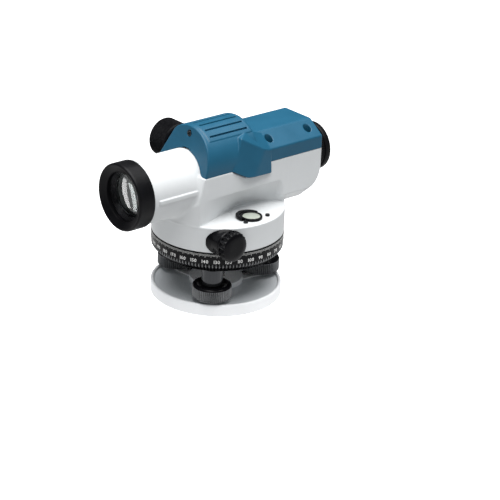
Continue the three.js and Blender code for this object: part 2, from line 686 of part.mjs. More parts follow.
function pendulum() {
  const along = [PENDULUM_X - 4, PENDULUM_X + 4];
  const hanger = block(along, [-14, 14], [PENDULUM_PIVOT_Z - 4, PENDULUM_PIVOT_Z + 4]);
  const arms = [-14, 11].map((y) => block(along, [y, y + 3], [SIGHT_Z - 12, PENDULUM_PIVOT_Z]));
  const bob = block([PENDULUM_X - 9, PENDULUM_X + 9], [-14, 14], [SIGHT_Z - 16, SIGHT_Z - 10]);
  return cut(join(hanger, ...arms, bob), rod(1.8, -30, 30, 'y', 16, [PENDULUM_X, 0, PENDULUM_PIVOT_Z]));
}

function pendulumPrism() {
  const base = SIGHT_Z - 9.7;
  return prism([[PENDULUM_X - 8, base], [PENDULUM_X + 8, base], [PENDULUM_X, SIGHT_Z + 6]], 'y', -10, 10);
}

function roofPrism() {
  return prism([[66, SIGHT_Z - 9], [76, SIGHT_Z - 9], [76, SIGHT_Z + 9], [70, SIGHT_Z + 9]], 'y', -9, 9);
}

// ---------- eyepiece ----------
function reticleRing() {
  return turned([[7.3, 77.2], [12.6, 77.2], [12.6, 80.6], [7.3, 80.6]], 'x', 36, [0, 0, SIGHT_Z]);
}

function reticle() {
  return rod(7, 78, 79.6, 'x', 32, [0, 0, SIGHT_Z]);
}

function eyepieceFlange() {
  return turned([
    [10.6, 81.7], [13.1, 81.7], [13.1, 84.2], [17.4, 84.2], [17.4, 86.6], [16.6, 87.4], [10.6, 87.4],
  ], 'x', 40, [0, 0, SIGHT_Z]);
}

function eyepieceCell() {
  return ring(8.3, 10.3, 83, 101, 'x', 36, [0, 0, SIGHT_Z]);
}

function eyeLens() {
  return turned([[0, 95.2], [8, 96], [8, 99], [0, 100]], 'x', 32, [0, 0, SIGHT_Z]);
}

function dioptreRing() {
  return turned([
    [10.6, 89.4], [18.4, 89.4], [19.4, 90.2], [19.4, 99.4], [10.6, 99.4],
  ], 'x', 48, [0, 0, SIGHT_Z]);
}

function eyecup() {
  return turned([
    [10.6, 99.7], [EYECUP_R - 0.9, 99.7], [EYECUP_R, 100.6], [EYECUP_R, 104.6],
    [EYECUP_R - 1.2, EYECUP_END_X], [14, EYECUP_END_X - 0.6], [10.6, 101.6],
  ], 'x', 48, [0, 0, SIGHT_Z]);
}

// ---------- circular bubble ----------
function bubbleCup() {
  const flange = SHELF_Z + 0.7;
  return turned([
    [5, 73.2], [6.9, 73.2], [6.9, SHELF_Z + 0.1], [8.6, SHELF_Z + 0.1], [8.6, flange], [6.5, flange],
    [6.5, 74.6], [5, 74.6],
  ], 'z', 36, [...BUBBLE, 0]);
}

function bubbleVial() {
  return turned([[0, 74.9], [6.2, 74.9], [6.2, 79.4], [3.5, 80], [0, 80.2]], 'z', 32, [...BUBBLE, 0]);
}

function bubbleBezel() {
  const z = SHELF_Z + 0.8;
  return turned([
    [6.5, z], [BUBBLE_R, z], [BUBBLE_R, z + 1.1], [BUBBLE_R - 0.6, z + 1.6], [7, z + 1.6], [6.5, z + 1.2],
  ], 'z', 40, [...BUBBLE, 0]);
}

function bubbleGuard() {
  const arc = (r, from, to) => arcPoints(0, 0, r, from, to, 18);
  const outline = [...arc(12.4, 25, 185), ...arc(9.5, 185, 25)];
  return prism(outline, 'z', SHELF_Z + 0.1, SHELF_Z + 2.6).translate([...BUBBLE, 0]);
}

function bubbleScrew(x, y) {
  const low = SHELF_Z + 0.1;
  const high = low + 1.5;
  return turned([[0, low], [1.9, low], [1.9, high - 0.4], [1.4, high], [0, high]], 'z', 16, [x, y, 0]);
}

// ---------- assembly ----------
place('base_plate', basePlate(), whitePaint);
place('thread_insert', threadInsert(), brass);
place('spring_plate', springPlate(), steel);
place('levelling_head', levellingHead(), greyCasting);
place('spindle', spindle(), steel);
place('spindle_nut', spindleNut(), steel);
for (const i of [0, 1, 2]) {
  place(`spring_screw_${i + 1}`, springScrew(i), steel);
  place(`foot_bush_${i + 1}`, footBush(i), blackAnodised);
  place(`foot_stem_${i + 1}`, footStem(i), steel);
  place(`foot_knob_${i + 1}`, footKnob(i), blackPlastic);
}
place('horizontal_circle', horizontalCircle(), blackPlastic);
place('drive_wheel', driveWheel(), brass);
place('tangent_shaft', tangentShaft(), steel);
for (const [name, side] of [['near', -1], ['far', 1]]) {
  place(`tangent_knob_${name}`, tangentKnob(side), blackPlastic);
  place(`tangent_boss_${name}`, tangentBoss(side), blackPlastic);
}
place('housing', housing(), silverPaint);
place('bearing_bush', bearingBush(), brass);
place('top_cover', topCover(), bluePlastic);
for (const i of [0, 1, 2, 3]) place(`cover_screw_${i + 1}`, coverScrew(i), blackAnodised);
place('cover_screw_5', frontScrew(), blackAnodised);
place('objective_rim', objectiveRim(), blackRubber);
place('objective_cell', objectiveCell(), blackAnodised);
place('objective_lens', objectiveLens(), glass);
place('focus_guide', focusGuide(), blackAnodised);
place('focus_carriage', focusCarriage(), brass);
place('focus_lens', focusLens(), glass);
place('focus_shaft', focusShaft(), steel);
place('focus_collar', focusCollar(), blackPlastic);
place('focus_knob', focusKnob(), blackRubber);
place('compensator_frame', compensatorFrame(), greyCasting);
place('pendulum_pivot', pendulumPivot(), steel);
place('pendulum', pendulum(), brass);
place('pendulum_prism', pendulumPrism(), glass);
place('roof_prism', roofPrism(), glass);
place('reticle_ring', reticleRing(), blackAnodised);
place('reticle', reticle(), glass);
place('eyepiece_flange', eyepieceFlange(), blackAnodised);
place('eyepiece_cell', eyepieceCell(), blackAnodised);
place('eye_lens', eyeLens(), glass);
place('dioptre_ring', dioptreRing(), blackPlastic);
place('eyecup', eyecup(), blackRubber);
place('bubble_cup', bubbleCup(), blackPlastic);
place('bubble_vial', bubbleVial(), yellowFluid);
place('bubble_bezel', bubbleBezel(), blackPlastic);
place('bubble_guard', bubbleGuard(), blackPlastic);
place('bubble_screw_1', bubbleScrew(-9.6, -45.9), blackAnodised);
place('bubble_screw_2', bubbleScrew(14.4, -44.9), blackAnodised);

export default level;
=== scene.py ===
"""Automatic level: fine meshes, materials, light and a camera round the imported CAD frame.

Shapes are worked out in millimetres in the frame's own axes, and add_piece() turns them into metres.
The origin is on the turning axis under the base plate; -X is the objective, -Y the bubble side.
"""
import json
import math

import bmesh
import bpy
import numpy as np
from mathutils import Matrix, Vector


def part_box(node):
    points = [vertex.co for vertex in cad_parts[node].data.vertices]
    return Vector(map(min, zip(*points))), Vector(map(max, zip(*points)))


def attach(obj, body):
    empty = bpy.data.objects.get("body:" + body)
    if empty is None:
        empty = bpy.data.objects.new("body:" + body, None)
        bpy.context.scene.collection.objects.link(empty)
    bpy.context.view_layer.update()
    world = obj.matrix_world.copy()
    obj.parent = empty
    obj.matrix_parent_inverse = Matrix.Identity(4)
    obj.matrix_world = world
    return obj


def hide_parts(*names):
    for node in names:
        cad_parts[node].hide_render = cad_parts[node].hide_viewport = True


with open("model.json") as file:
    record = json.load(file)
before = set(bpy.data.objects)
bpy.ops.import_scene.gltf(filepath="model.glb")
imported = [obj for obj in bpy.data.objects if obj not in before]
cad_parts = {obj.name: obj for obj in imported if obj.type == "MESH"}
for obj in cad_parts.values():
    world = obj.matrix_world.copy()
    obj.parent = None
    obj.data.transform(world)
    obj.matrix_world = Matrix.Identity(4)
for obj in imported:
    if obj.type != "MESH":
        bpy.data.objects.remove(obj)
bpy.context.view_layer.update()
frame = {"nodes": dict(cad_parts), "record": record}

MM = 0.001
X, Y, Z = 0, 1, 2

# ---------- places taken from the frame, in millimetres ----------
BODY_OF = {
    node: body
    for body, nodes in frame["record"]["behaviour"]["bodies"].items()
    for node in nodes
}


def low(node):
    return [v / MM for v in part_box(node)[0]]


def high(node):
    return [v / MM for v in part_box(node)[1]]


def middle(node):
    return [(a + b) / 2 for a, b in zip(low(node), high(node))]


def ends(node, axis):
    return low(node)[axis], high(node)[axis]


def reach(node, axis):
    """Half the size of a node along one axis, which is the radius of a turned one."""
    return (high(node)[axis] - low(node)[axis]) / 2


GAP = 0.3  # between neighbouring pieces
SPINDLE_R = 8.0
SHAFT_R = 3.0  # tangent and focusing shafts
EYEPIECE_BORE_R = 10.6
DRUM_R = reach("horizontal_circle", Y)
DRUM_BOTTOM = low("housing")[Z]
TUBE_FRONT = low("housing")[X]
BODY_REAR = high("housing")[X]
SHELF_Z = low("bubble_guard")[Z] - 0.1
SIGHT_Z = middle("eyecup")[Z]
SIGHT_LINE = (0, 0, SIGHT_Z)
COVER_TOP = high("top_cover")[Z]
BODY_HALF_W = 31.2
BARREL_R = BODY_HALF_W
BARREL_Z = COVER_TOP - BARREL_R
BARREL_REAR = 16.3
CREASE_Z = 99.4
SPLIT_Z = 117.6  # where the cover sits on the housing
AXIS = (0, 0, 0)  # a point on the turning axis
BODY_BOTTOM = 72.0
REAR_LEDGE_Z = 84.5
REAR_BOTTOM_HALF_W = 17.2
REAR_CORNER_R = 14.0
ROOF_Z = 139.5
ROOF_HALF_W = 15.6
EAVE_Z = 128.6
WALL = 2.5
TUBE_R = 26.2
TUBE_BORE_R = 23.5
EYEPIECE_SEAT_R = 13.4
BUBBLE = middle("bubble_bezel")
TANGENT = middle("tangent_shaft")
FOCUS = middle("focus_knob")
SCREW_NUMBERS = (1, 2, 3)

FINE_CELL = 0.55  # grid step of the big skins
SMALL_CELL = 0.3


# ---------- distance fields: negative inside, in millimetres ----------
def both(a, b, edge=0.0):
    """Where two fields overlap, with the corner between them rounded."""
    if edge <= 0:
        return np.maximum(a, b)
    inner = np.minimum(-edge, np.maximum(a, b))
    return inner + np.hypot(np.maximum(edge + a, 0), np.maximum(edge + b, 0))


def either(a, b, fillet=0.0):
    """Two fields joined, with a fillet in the corner between them."""
    if fillet <= 0:
        return np.minimum(a, b)
    outer = np.maximum(fillet, np.minimum(a, b))
    return outer - np.hypot(np.maximum(fillet - a, 0), np.maximum(fillet - b, 0))


def without(a, b, edge=0.0):
    return both(a, -b, edge)


def between(value, start, end):
    return np.abs(value - (start + end) / 2) - (end - start) / 2


def off_axis(p, axis, centre):
    """Distance from the line along an axis through a centre."""
    u, v = [i for i in (X, Y, Z) if i != axis]
    return np.hypot(p[u] - centre[u], p[v] - centre[v])


def cylinder(p, axis, centre, radius, start, end, edge=0.0):
    return both(off_axis(p, axis, centre) - radius, between(p[axis], start, end), edge)


def block(p, x, y, z, edge=0.0):
    sides = both(between(p[X], *x), between(p[Y], *y), edge)
    return both(sides, between(p[Z], *z), edge)


def half_space(p, point, normal):
    """The side of a plane that its normal points away from."""
    n = Vector(normal).normalized()
    return (p[X] - point[X]) * n[X] + (p[Y] - point[Y]) * n[Y] + (p[Z] - point[Z]) * n[Z]


def outline(p, u, v, corners, edge=0.0):
    """A convex outline in the plane of axes u and v, corners anticlockwise, endless along the third axis."""
    field = None
    for (u0, v0), (u1, v1) in zip(corners, corners[1:] + corners[:1]):
        length = math.hypot(u1 - u0, v1 - v0)
        side = ((p[u] - u0) * (v1 - v0) - (p[v] - v0) * (u1 - u0)) / length
        field = side if field is None else both(field, side, edge)
    return field


def skin(field, start, end, cell):
    """The surface of a field as vertices and quads: one vertex in each grid cell that it crosses."""
    axes = [np.arange(a - 2 * cell, b + 3 * cell, cell) for a, b in zip(start, end)]
    grid = np.meshgrid(*[a.astype(np.float32) for a in axes], indexing="ij", sparse=True)
    values = np.broadcast_to(field(grid), [len(a) for a in axes])
    inside = values < 0
    stride = (len(axes[Y]) * len(axes[Z]), len(axes[Z]), 1)
    cells, crossings, quads = [], [], []
    for axis in (X, Y, Z):
        before = [slice(None)] * 3
        after = [slice(None)] * 3
        before[axis], after[axis] = slice(0, -1), slice(1, None)
        index = np.nonzero(inside[tuple(before)] != inside[tuple(after)])
        following = list(index)
        following[axis] = index[axis] + 1
        a, b = values[index], values[tuple(following)]
        point = np.stack([axes[i][index[i]] for i in (X, Y, Z)], 1)
        point[:, axis] += a / (a - b) * cell
        home = sum(index[i] * stride[i] for i in (X, Y, Z))
        u, v = stride[(axis + 1) % 3], stride[(axis + 2) % 3]
        around = np.stack([home, home - u, home - u - v, home - v], 1)
        cells.append(around.T.ravel())
        crossings.append(np.tile(point, (4, 1)))
        quads.append(np.where((a < 0)[:, None], around, around[:, ::-1]))
    used, place = np.unique(np.concatenate(cells), return_inverse=True)
    count = np.bincount(place)
    crossing = np.concatenate(crossings)
    vertices = np.stack([np.bincount(place, crossing[:, i]) / count for i in (X, Y, Z)], 1)
    return settled(field, vertices, cell), np.searchsorted(used, np.concatenate(quads))


def settled(field, vertices, cell):
    """Vertices moved onto the surface along the field's slope."""
    step = 0.04
    for _ in range(2):
        value = field(vertices.T)
        slope = np.empty_like(vertices)
        for axis in (X, Y, Z):
            ahead, behind = vertices.T.copy(), vertices.T.copy()
            ahead[axis] += step
            behind[axis] -= step
            slope[:, axis] = (field(ahead) - field(behind)) / (2 * step)
        size = np.maximum((slope**2).sum(1), 0.3)
        move = slope * (value / size)[:, None]
        vertices = vertices - np.clip(move, -0.4 * cell, 0.4 * cell)
    return vertices


# ---------- turned shapes ----------
def rounded(profile, closed):
    """Profile points (radius, place, corner radius, rib share), with each corner as a short curve."""
    points = [tuple(p) + (0,) * (4 - len(p)) for p in profile]
    result = []
    for i, (r, h, corner, rib) in enumerate(points):
        here = Vector((r, h))
        at_end = not closed and i in (0, len(points) - 1)
        if corner == 0 or at_end:
            result.append((r, h, rib))
            continue
        back = Vector(points[i - 1][:2]) - here
        on = Vector(points[(i + 1) % len(points)][:2]) - here
        a = here + back.normalized() * min(corner, 0.48 * back.length)
        b = here + on.normalized() * min(corner, 0.48 * on.length)
        steps = 5
        for s in range(steps + 1):
            t = s / steps
            spot = a * (1 - t) ** 2 + here * 2 * t * (1 - t) + b * t * t
            result.append((spot.x, spot.y, rib))
    return result


def turned_mesh(profile, axis, centre, segments, ribs, socket):
    """A profile turned about an axis. ribs is (how many, how deep, how narrow).

    Circles up to the socket's radius become hexagons.
    """
    closed = not (profile[0][0] == 0 and profile[-1][0] == 0)
    points = rounded(profile, closed)
    count, depth, narrow = ribs
    if count:
        segments = count * 6
    angles = np.arange(segments) * 2 * math.pi / segments
    groove = (0.5 + 0.5 * np.cos(angles * count)) ** narrow
    sixth = math.pi / 3
    hexagon = math.cos(sixth / 2) / np.cos(angles % sixth - sixth / 2)
    u, v = [i for i in (X, Y, Z) if i != axis]
    vertices, rows = [], []
    for r, h, rib in points:
        if r == 0:
            spot = np.array(centre, float)
            spot[axis] = h
            rows.append([len(vertices)] * segments)
            vertices.append(spot)
            continue
        radius = r - depth * rib * groove
        if r <= socket:
            radius = radius * hexagon
        ring = np.tile(np.array(centre, float), (segments, 1))
        ring[:, u] += radius * np.cos(angles)
        ring[:, v] += radius * np.sin(angles)
        ring[:, axis] = h
        rows.append(list(range(len(vertices), len(vertices) + segments)))
        vertices.extend(ring)
    faces = []
    pairs = list(zip(rows, rows[1:] + rows[:1])) if closed else list(zip(rows, rows[1:]))
    for one, two in pairs:
        for i in range(segments):
            j = (i + 1) % segments
            corners = list(dict.fromkeys([one[i], one[j], two[j], two[i]]))
            if len(corners) > 2:
                faces.append(corners)
    return np.array(vertices), faces


def threaded(root, crest, start, end, pitch):
    """Profile points of thread ridges from start to end."""
    turns = int((end - start) / pitch)
    step = (end - start) / turns
    points = []
    for i in range(turns):
        h = start + i * step
        points += [(root, h), (crest, h + 0.4 * step), (crest, h + 0.55 * step), (root, h + 0.95 * step)]
    return points


# ---------- materials ----------
class Graph:
    """A short way to write a material's node tree."""

    def __init__(self, name):
        self.material = bpy.data.materials.new(name)
        self.material.use_nodes = True
        self.tree = self.material.node_tree
        self.shader = self.tree.nodes["Principled BSDF"]
        coordinates = self.node("ShaderNodeTexCoord")
        self.place = self.scaled(coordinates.outputs["Object"], (1 / MM,) * 3)

    def node(self, kind, inputs=None, **settings):
        made = self.tree.nodes.new(kind)
        for key, value in settings.items():
            setattr(made, key, value)
        for key, value in (inputs or {}).items():
            if isinstance(value, bpy.types.NodeSocket):
                self.tree.links.new(value, made.inputs[key])
            else:
                made.inputs[key].default_value = value
        return made

    def scaled(self, vector, factors):
        return self.node("ShaderNodeVectorMath", {0: vector, 1: factors}, operation="MULTIPLY").outputs[0]

    def noise(self, size, detail=3.0):
        """Noise from 0 to 1, with patches about size millimetres wide."""
        made = self.node("ShaderNodeTexNoise", {"Vector": self.place, "Scale": 1 / size, "Detail": detail})
        return made.outputs["Fac"]

    def spread(self, value, from_low, from_high, to_low, to_high):
        made = self.node("ShaderNodeMapRange", {
            "Value": value, "From Min": from_low, "From Max": from_high, "To Min": to_low, "To Max": to_high})
        return made.outputs["Result"]

    def math(self, operation, a, b):
        return self.node("ShaderNodeMath", {0: a, 1: b}, operation=operation).outputs[0]

    def mixed(self, share, a, b):
        made = self.node("ShaderNodeMix", {"Factor": share, "A": a, "B": b}, data_type="RGBA")
        return made.outputs["Result"]

    def edges(self, radius):
        """Near 1 on outer edges that hands and cases rub, and 0 elsewhere."""
        soft = self.node("ShaderNodeBevel", {"Radius": radius * MM}, samples=4)
        true = self.node("ShaderNodeNewGeometry")
        dot = self.node("ShaderNodeVectorMath", {0: soft.outputs[0], 1: true.outputs["Normal"]},
                        operation="DOT_PRODUCT").outputs["Value"]
        rubbed = self.spread(dot, 0.985, 0.9, 0.0, 1.0)
        return self.math("MULTIPLY", rubbed, self.spread(self.noise(2.5), 0.42, 0.62, 0.0, 1.0))

    def set(self, **inputs):
        for key, value in inputs.items():
            name = key.replace("_", " ").title().replace("Ior", "IOR")
            if isinstance(value, bpy.types.NodeSocket):
                self.tree.links.new(value, self.shader.inputs[name])
            else:
                self.shader.inputs[name].default_value = value


def tone(colour, factor):
    return tuple(min(1.0, c * factor) for c in colour) + (1.0,)


def look(name, colour, roughness, metallic=0.0, vary=0.03, patch=8.0, grain=0.35, bump=0.02,
         wear=None, **extra):
    """A painted, moulded or turned finish: colour patches, uneven roughness, a fine grain and rubbed edges.

    patch and grain are sizes in millimetres, bump is the grain's height, and wear the colour of rubbed edges.
    """
    g = Graph(name)
    patches = g.spread(g.noise(patch), 0.3, 0.7, 0.0, 1.0)
    surface = g.mixed(patches, tone(colour, 1 - vary), tone(colour, 1 + vary))
    fine = g.noise(grain, 4.0)
    uneven = g.math("ADD", g.spread(patches, 0, 1, roughness * 0.92, roughness * 1.08),
                    g.spread(fine, 0.3, 0.7, -0.03, 0.03))
    if wear:
        worn = g.edges(0.5)
        surface = g.mixed(g.math("MULTIPLY", worn, 0.55), surface, tuple(wear) + (1.0,))
        uneven = g.math("SUBTRACT", uneven, g.math("MULTIPLY", worn, 0.08))
    relief = g.node("ShaderNodeBump", {"Height": fine, "Strength": 0.6, "Distance": bump * MM})
    g.set(base_color=surface, roughness=uneven, metallic=metallic, normal=relief.outputs[0], **extra)
    return g.material


def glass_look(name, colour):
    """Clear glass with faint smears."""
    g = Graph(name)
    smear = g.spread(g.noise(6.0), 0.4, 0.7, 0.02, 0.06)
    tint = g.mixed(g.noise(10.0), tone(colour, 0.97), tone(colour, 1.03))
    g.set(base_color=tint, roughness=smear, transmission_weight=1.0, ior=1.52)
    return g.material


def turned_metal_look(name, colour, roughness, metallic):
    """A face cut on a lathe: fine rings about the vertical axis that stretch highlights across them."""
    g = Graph(name)
    parts = g.node("ShaderNodeSeparateXYZ", {0: g.place})
    radius = g.math("SQRT", g.math("ADD", g.math("POWER", parts.outputs[0], 2.0),
                                   g.math("POWER", parts.outputs[1], 2.0)), 0.0)
    rings = g.node("ShaderNodeTexNoise", {"W": radius, "Scale": 3.0, "Detail": 4.0}, noise_dimensions="1D")
    patches = g.spread(g.noise(25.0), 0.3, 0.7, 0.9, 1.1)
    shade = g.spread(rings.outputs["Fac"], 0.3, 0.7, 0.0, 1.0)
    surface = g.mixed(shade, tone(colour, 0.9), tone(colour, 1.1))
    uneven = g.math("MULTIPLY", patches, roughness)
    tangent = g.node("ShaderNodeTangent", direction_type="RADIAL", axis="Z")
    relief = g.node("ShaderNodeBump", {
        "Height": rings.outputs["Fac"], "Strength": 0.3, "Distance": 0.01 * MM})
    g.set(base_color=surface, roughness=uneven, metallic=metallic, anisotropic=0.75,
          tangent=tangent.outputs[0], normal=relief.outputs[0])
    return g.material


FINISHES = {
    "silver_paint": dict(colour=(0.70, 0.715, 0.72), roughness=0.45, patch=30, bump=0.012,
                         wear=(0.8, 0.8, 0.8), specular_ior_level=0.2),
    "white_paint": dict(colour=(0.89, 0.90, 0.91), roughness=0.38, patch=25, grain=0.4, bump=0.012,
                        wear=(0.55, 0.55, 0.56)),
    "blue_plastic": dict(colour=(0.010, 0.092, 0.164), roughness=0.40, vary=0.07, patch=22, grain=0.3,
                         bump=0.03, wear=(0.08, 0.28, 0.38), specular_ior_level=0.35),
    "black_plastic": dict(colour=(0.004, 0.004, 0.005), roughness=0.24, vary=0.2, patch=12,
                          wear=(0.04, 0.04, 0.042), specular_ior_level=0.14),
    "black_rubber": dict(colour=(0.005, 0.005, 0.006), roughness=0.38, vary=0.25, patch=10, grain=0.25,
                         bump=0.04, wear=(0.04, 0.04, 0.042), specular_ior_level=0.14),
    "black_anodised": dict(colour=(0.022, 0.023, 0.026), roughness=0.28, metallic=0.7, vary=0.15, patch=9,
                           grain=0.2, bump=0.01, wear=(0.30, 0.30, 0.31)),
    "grey_casting": dict(colour=(0.055, 0.058, 0.062), roughness=0.48, metallic=0.3, vary=0.15, grain=0.6,
                         bump=0.06, wear=(0.22, 0.22, 0.23)),
    "steel": dict(colour=(0.62, 0.61, 0.60), roughness=0.26, metallic=1.0, vary=0.06, grain=0.2, bump=0.01),
    "brass": dict(colour=(0.62, 0.43, 0.17), roughness=0.30, metallic=1.0, vary=0.10, patch=7, grain=0.2,
                  bump=0.01, wear=(0.80, 0.62, 0.34)),
    "vial": dict(colour=(0.58, 0.62, 0.54), roughness=0.06, vary=0.04, patch=5, grain=0.5, bump=0.002,
                 transmission_weight=0.35, ior=1.45),
    # a lighter grey for the crests of ribs: a painted highlight
    "rib_crest_painted_highlight": dict(colour=(0.20, 0.205, 0.21), roughness=0.30, metallic=0.4, vary=0.15, patch=6,
                      grain=0.2),
    "dial_print": dict(colour=(0.78, 0.78, 0.76), roughness=0.5, vary=0.08, patch=3, grain=0.3),
    "knurled_metal": dict(colour=(0.075, 0.078, 0.082), roughness=0.34, metallic=0.6, vary=0.15, patch=6,
                          grain=0.2, wear=(0.35, 0.35, 0.36)),
}
LOOKS = {name: look(name, **settings) for name, settings in FINISHES.items()}
LOOKS["glass"] = glass_look("glass", (0.90, 0.96, 0.95))
LOOKS["plate_face"] = turned_metal_look("plate_face", (0.72, 0.75, 0.77), 0.4, 0.25)
LOOKS["polished"] = turned_metal_look("polished", (0.05, 0.052, 0.056), 0.12, 0.7)
LOOKS["bright_steel"] = turned_metal_look("bright_steel", (0.90, 0.91, 0.92), 0.30, 0.3)
# looks of the hidden CAD nodes that stay
LOOK_OF_NODE = {
    "drive_wheel": "brass", "focus_carriage": "brass", "pendulum": "brass", "focus_shaft": "steel",
    "focus_guide": "black_anodised", "compensator_frame": "grey_casting", "pendulum_prism": "glass",
    "roof_prism": "glass",
}


# ---------- pieces ----------
def in_scene(name, data):
    made = bpy.data.objects.new(name, data)
    bpy.context.scene.collection.objects.link(made)
    return made


def add_piece(name, vertices, faces, finish, body, replaced=(), sharp=40.0):
    """A mesh given in millimetres, finished and riding on a CAD body."""
    mesh = bpy.data.meshes.new(name)
    mesh.from_pydata((np.asarray(vertices, float) * MM).tolist(), [], [list(map(int, f)) for f in faces])
    cleaned = bmesh.new()
    cleaned.from_mesh(mesh)
    bmesh.ops.recalc_face_normals(cleaned, faces=cleaned.faces)
    cleaned.to_mesh(mesh)
    cleaned.free()
    mesh.shade_smooth()
    mesh.set_sharp_from_angle(angle=math.radians(sharp))
    mesh.materials.append(LOOKS[finish])
    made = in_scene(name, mesh)
    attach(made, body)
    if replaced:
        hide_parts(*replaced)
    return made


def even_shading(made):
    modifier = made.modifiers.new("even_shading", "WEIGHTED_NORMAL")
    modifier.keep_sharp = True
    modifier.weight = 100
    return made


def turned(node, axis, profile, finish, segments=144, ribs=(0, 0.0, 1.0), socket=0.0):
    """A turned piece that stands for one CAD node, about the middle of that node."""
    vertices, faces = turned_mesh(profile, axis, middle(node), segments, ribs, socket)
    return even_shading(add_piece(node + "_fine", vertices, faces, finish, BODY_OF[node], [node]))


def refinish(made, finish, chosen):
    """Another finish on the faces whose middle, in millimetres, is chosen."""
    made.data.materials.append(LOOKS[finish])
    index = len(made.data.materials) - 1
    for face in made.data.polygons:
        if chosen(face.center / MM):
            face.material_index = index


def light_crests(made, centre, count, start, end):
    """The crests of the ribs between two heights, given a lighter finish than the grooves: a painted
    highlight.
    """
    def on_crest(spot):
        phase = math.cos(math.atan2(spot.y - centre[Y], spot.x - centre[X]) * count)
        return phase < -0.5 and start < spot.z < end

    refinish(made, "rib_crest_painted_highlight", on_crest)


def skinned(node, field, finish, cell, margin=0.0):
    """A piece made from a distance field that stands for one CAD node."""
    start = [v - margin for v in low(node)]
    end = [v + margin for v in high(node)]
    vertices, faces = skin(field, start, end, cell)
    return add_piece(node + "_fine", vertices, faces, finish, BODY_OF[node], [node], sharp=60.0)


# ---------- base ----------
PLATE_R = reach("base_plate", Y)
PLATE_RIM_Z = high("base_plate")[Z]
PLATE_FACE_Z = PLATE_RIM_Z - 1.8
PLATE_BORE_R = 13.0


def base_plate():
    made = turned("base_plate", Z, [
        (PLATE_BORE_R, 0), (PLATE_R, 0, 1.4), (PLATE_R, PLATE_RIM_Z, 1.9), (PLATE_R - 2.4, PLATE_RIM_Z, 0.8),
        (PLATE_R - 3.2, PLATE_FACE_Z, 0.6), (PLATE_BORE_R, PLATE_FACE_Z, 0.4),
    ], "white_paint", 240)
    refinish(made, "plate_face", lambda spot: (
        spot.z > PLATE_FACE_Z - 0.3 and math.hypot(spot.x, spot.y) < PLATE_R - 3.0))


def base_insides():
    turned("thread_insert", Z, [
        *threaded(7.9, 8.5, 0.5, 8.9, 2.1), (9.4, 9.5, 0.3), (12.7, 9.5, 0.4), (12.7, 0.4, 0.3),
    ], "steel", 96)
    turned("spindle", Z, [
        (0, 29), (15, 29, 0.2), (15, 29.7, 0.2), (SPINDLE_R, 29.7, 0.2), (SPINDLE_R, 82, 0.4), (5.5, 82, 0.2),
        *threaded(5.0, 5.5, 82.5, 88, 1.0), (0, 89),
    ], "steel", 96)
    turned("spindle_nut", Z, [
        (5.8, 83.2), (10.5, 83.2, 0.3, 1), (10.5, 87.4, 0.4, 1), (9.5, 88.2, 0.2), (5.8, 88.2),
    ], "steel", ribs=(12, 0.7, 2.0))


SPRING_HUB_R = 22.3
SPRING_BORE_R = 13.2  # under the hub's cap
SPRING_HOLE_R = 7.5  # through the cap
SPRING_ARM_END = 46.0
SPRING_SCREW_R = 26.0


def arm_place(number):
    """Where a foot screw stands on the base, as a unit vector and a radius."""
    centre = middle(f"foot_stem_{number}")
    radius = math.hypot(centre[X], centre[Y])
    return centre[X] / radius, centre[Y] / radius, radius


def along_arm(p, number):
    """Coordinates along and across one arm of the base."""
    cos, sin, _ = arm_place(number)
    return [p[X] * cos + p[Y] * sin, p[Y] * cos - p[X] * sin, p[Z]]


def spring_plate():
    bottom, crown = ends("spring_plate", Z)
    sheet = bottom + 1.0

    def field(p):
        hub = cylinder(p, Z, AXIS, SPRING_HUB_R, bottom, crown, 0.45)
        for number in SCREW_NUMBERS:
            q = along_arm(p, number)
            arm = outline(q, X, Y, [(15, -10), (SPRING_ARM_END, -5.5), (SPRING_ARM_END, 5.5), (15, 10)], 2.0)
            hub = either(hub, both(arm, between(p[Z], bottom, sheet), 0.3), 0.6)
        hub = without(hub, cylinder(p, Z, AXIS, SPRING_BORE_R, 0, crown - 1.4), 0.4)
        hub = without(hub, cylinder(p, Z, AXIS, SPRING_HOLE_R, 0, 30), 0.4)
        for number in SCREW_NUMBERS:
            q = along_arm(p, number)
            radius = arm_place(number)[2]
            hub = without(hub, np.hypot(q[X] - radius, q[Y]) - 4.6, 0.3)
            hub = without(hub, np.hypot(q[X] - SPRING_SCREW_R, q[Y]) - 1.9, 0.2)
        return hub

    skinned("spring_plate", field, "bright_steel", SMALL_CELL)


FOOT_BUSH_R = 8.7
HEAD_R = 24.0
HEAD_COLLAR_R = 13.4
HEAD_ARM = [(8, -13), (36, -9.5), (36, 9.5), (8, 13)]


def levelling_head():
    bottom, top = low("levelling_head")[Z], high("foot_bush_1")[Z]
    collar_top = high("levelling_head")[Z]

    def field(p):
        head = cylinder(p, Z, AXIS, HEAD_R, bottom, top, 1.2)
        for number in SCREW_NUMBERS:
            arm = outline(along_arm(p, number), X, Y, HEAD_ARM, 1.0)
            head = either(head, both(arm, between(p[Z], bottom, top - 0.6), 1.2), 2.5)
        head = either(head, cylinder(p, Z, AXIS, HEAD_COLLAR_R, top - 1, collar_top, 0.5), 1.0)
        head = without(head, cylinder(p, Z, AXIS, SPINDLE_R + GAP, 0, 80), 0.3)
        for number in SCREW_NUMBERS:
            q = along_arm(p, number)
            head = without(head, np.hypot(q[X] - arm_place(number)[2], q[Y]) - FOOT_BUSH_R - GAP, 0.3)
        return head

    skinned("levelling_head", field, "grey_casting", FINE_CELL)


FOOT_KNOB_RIBS = 60


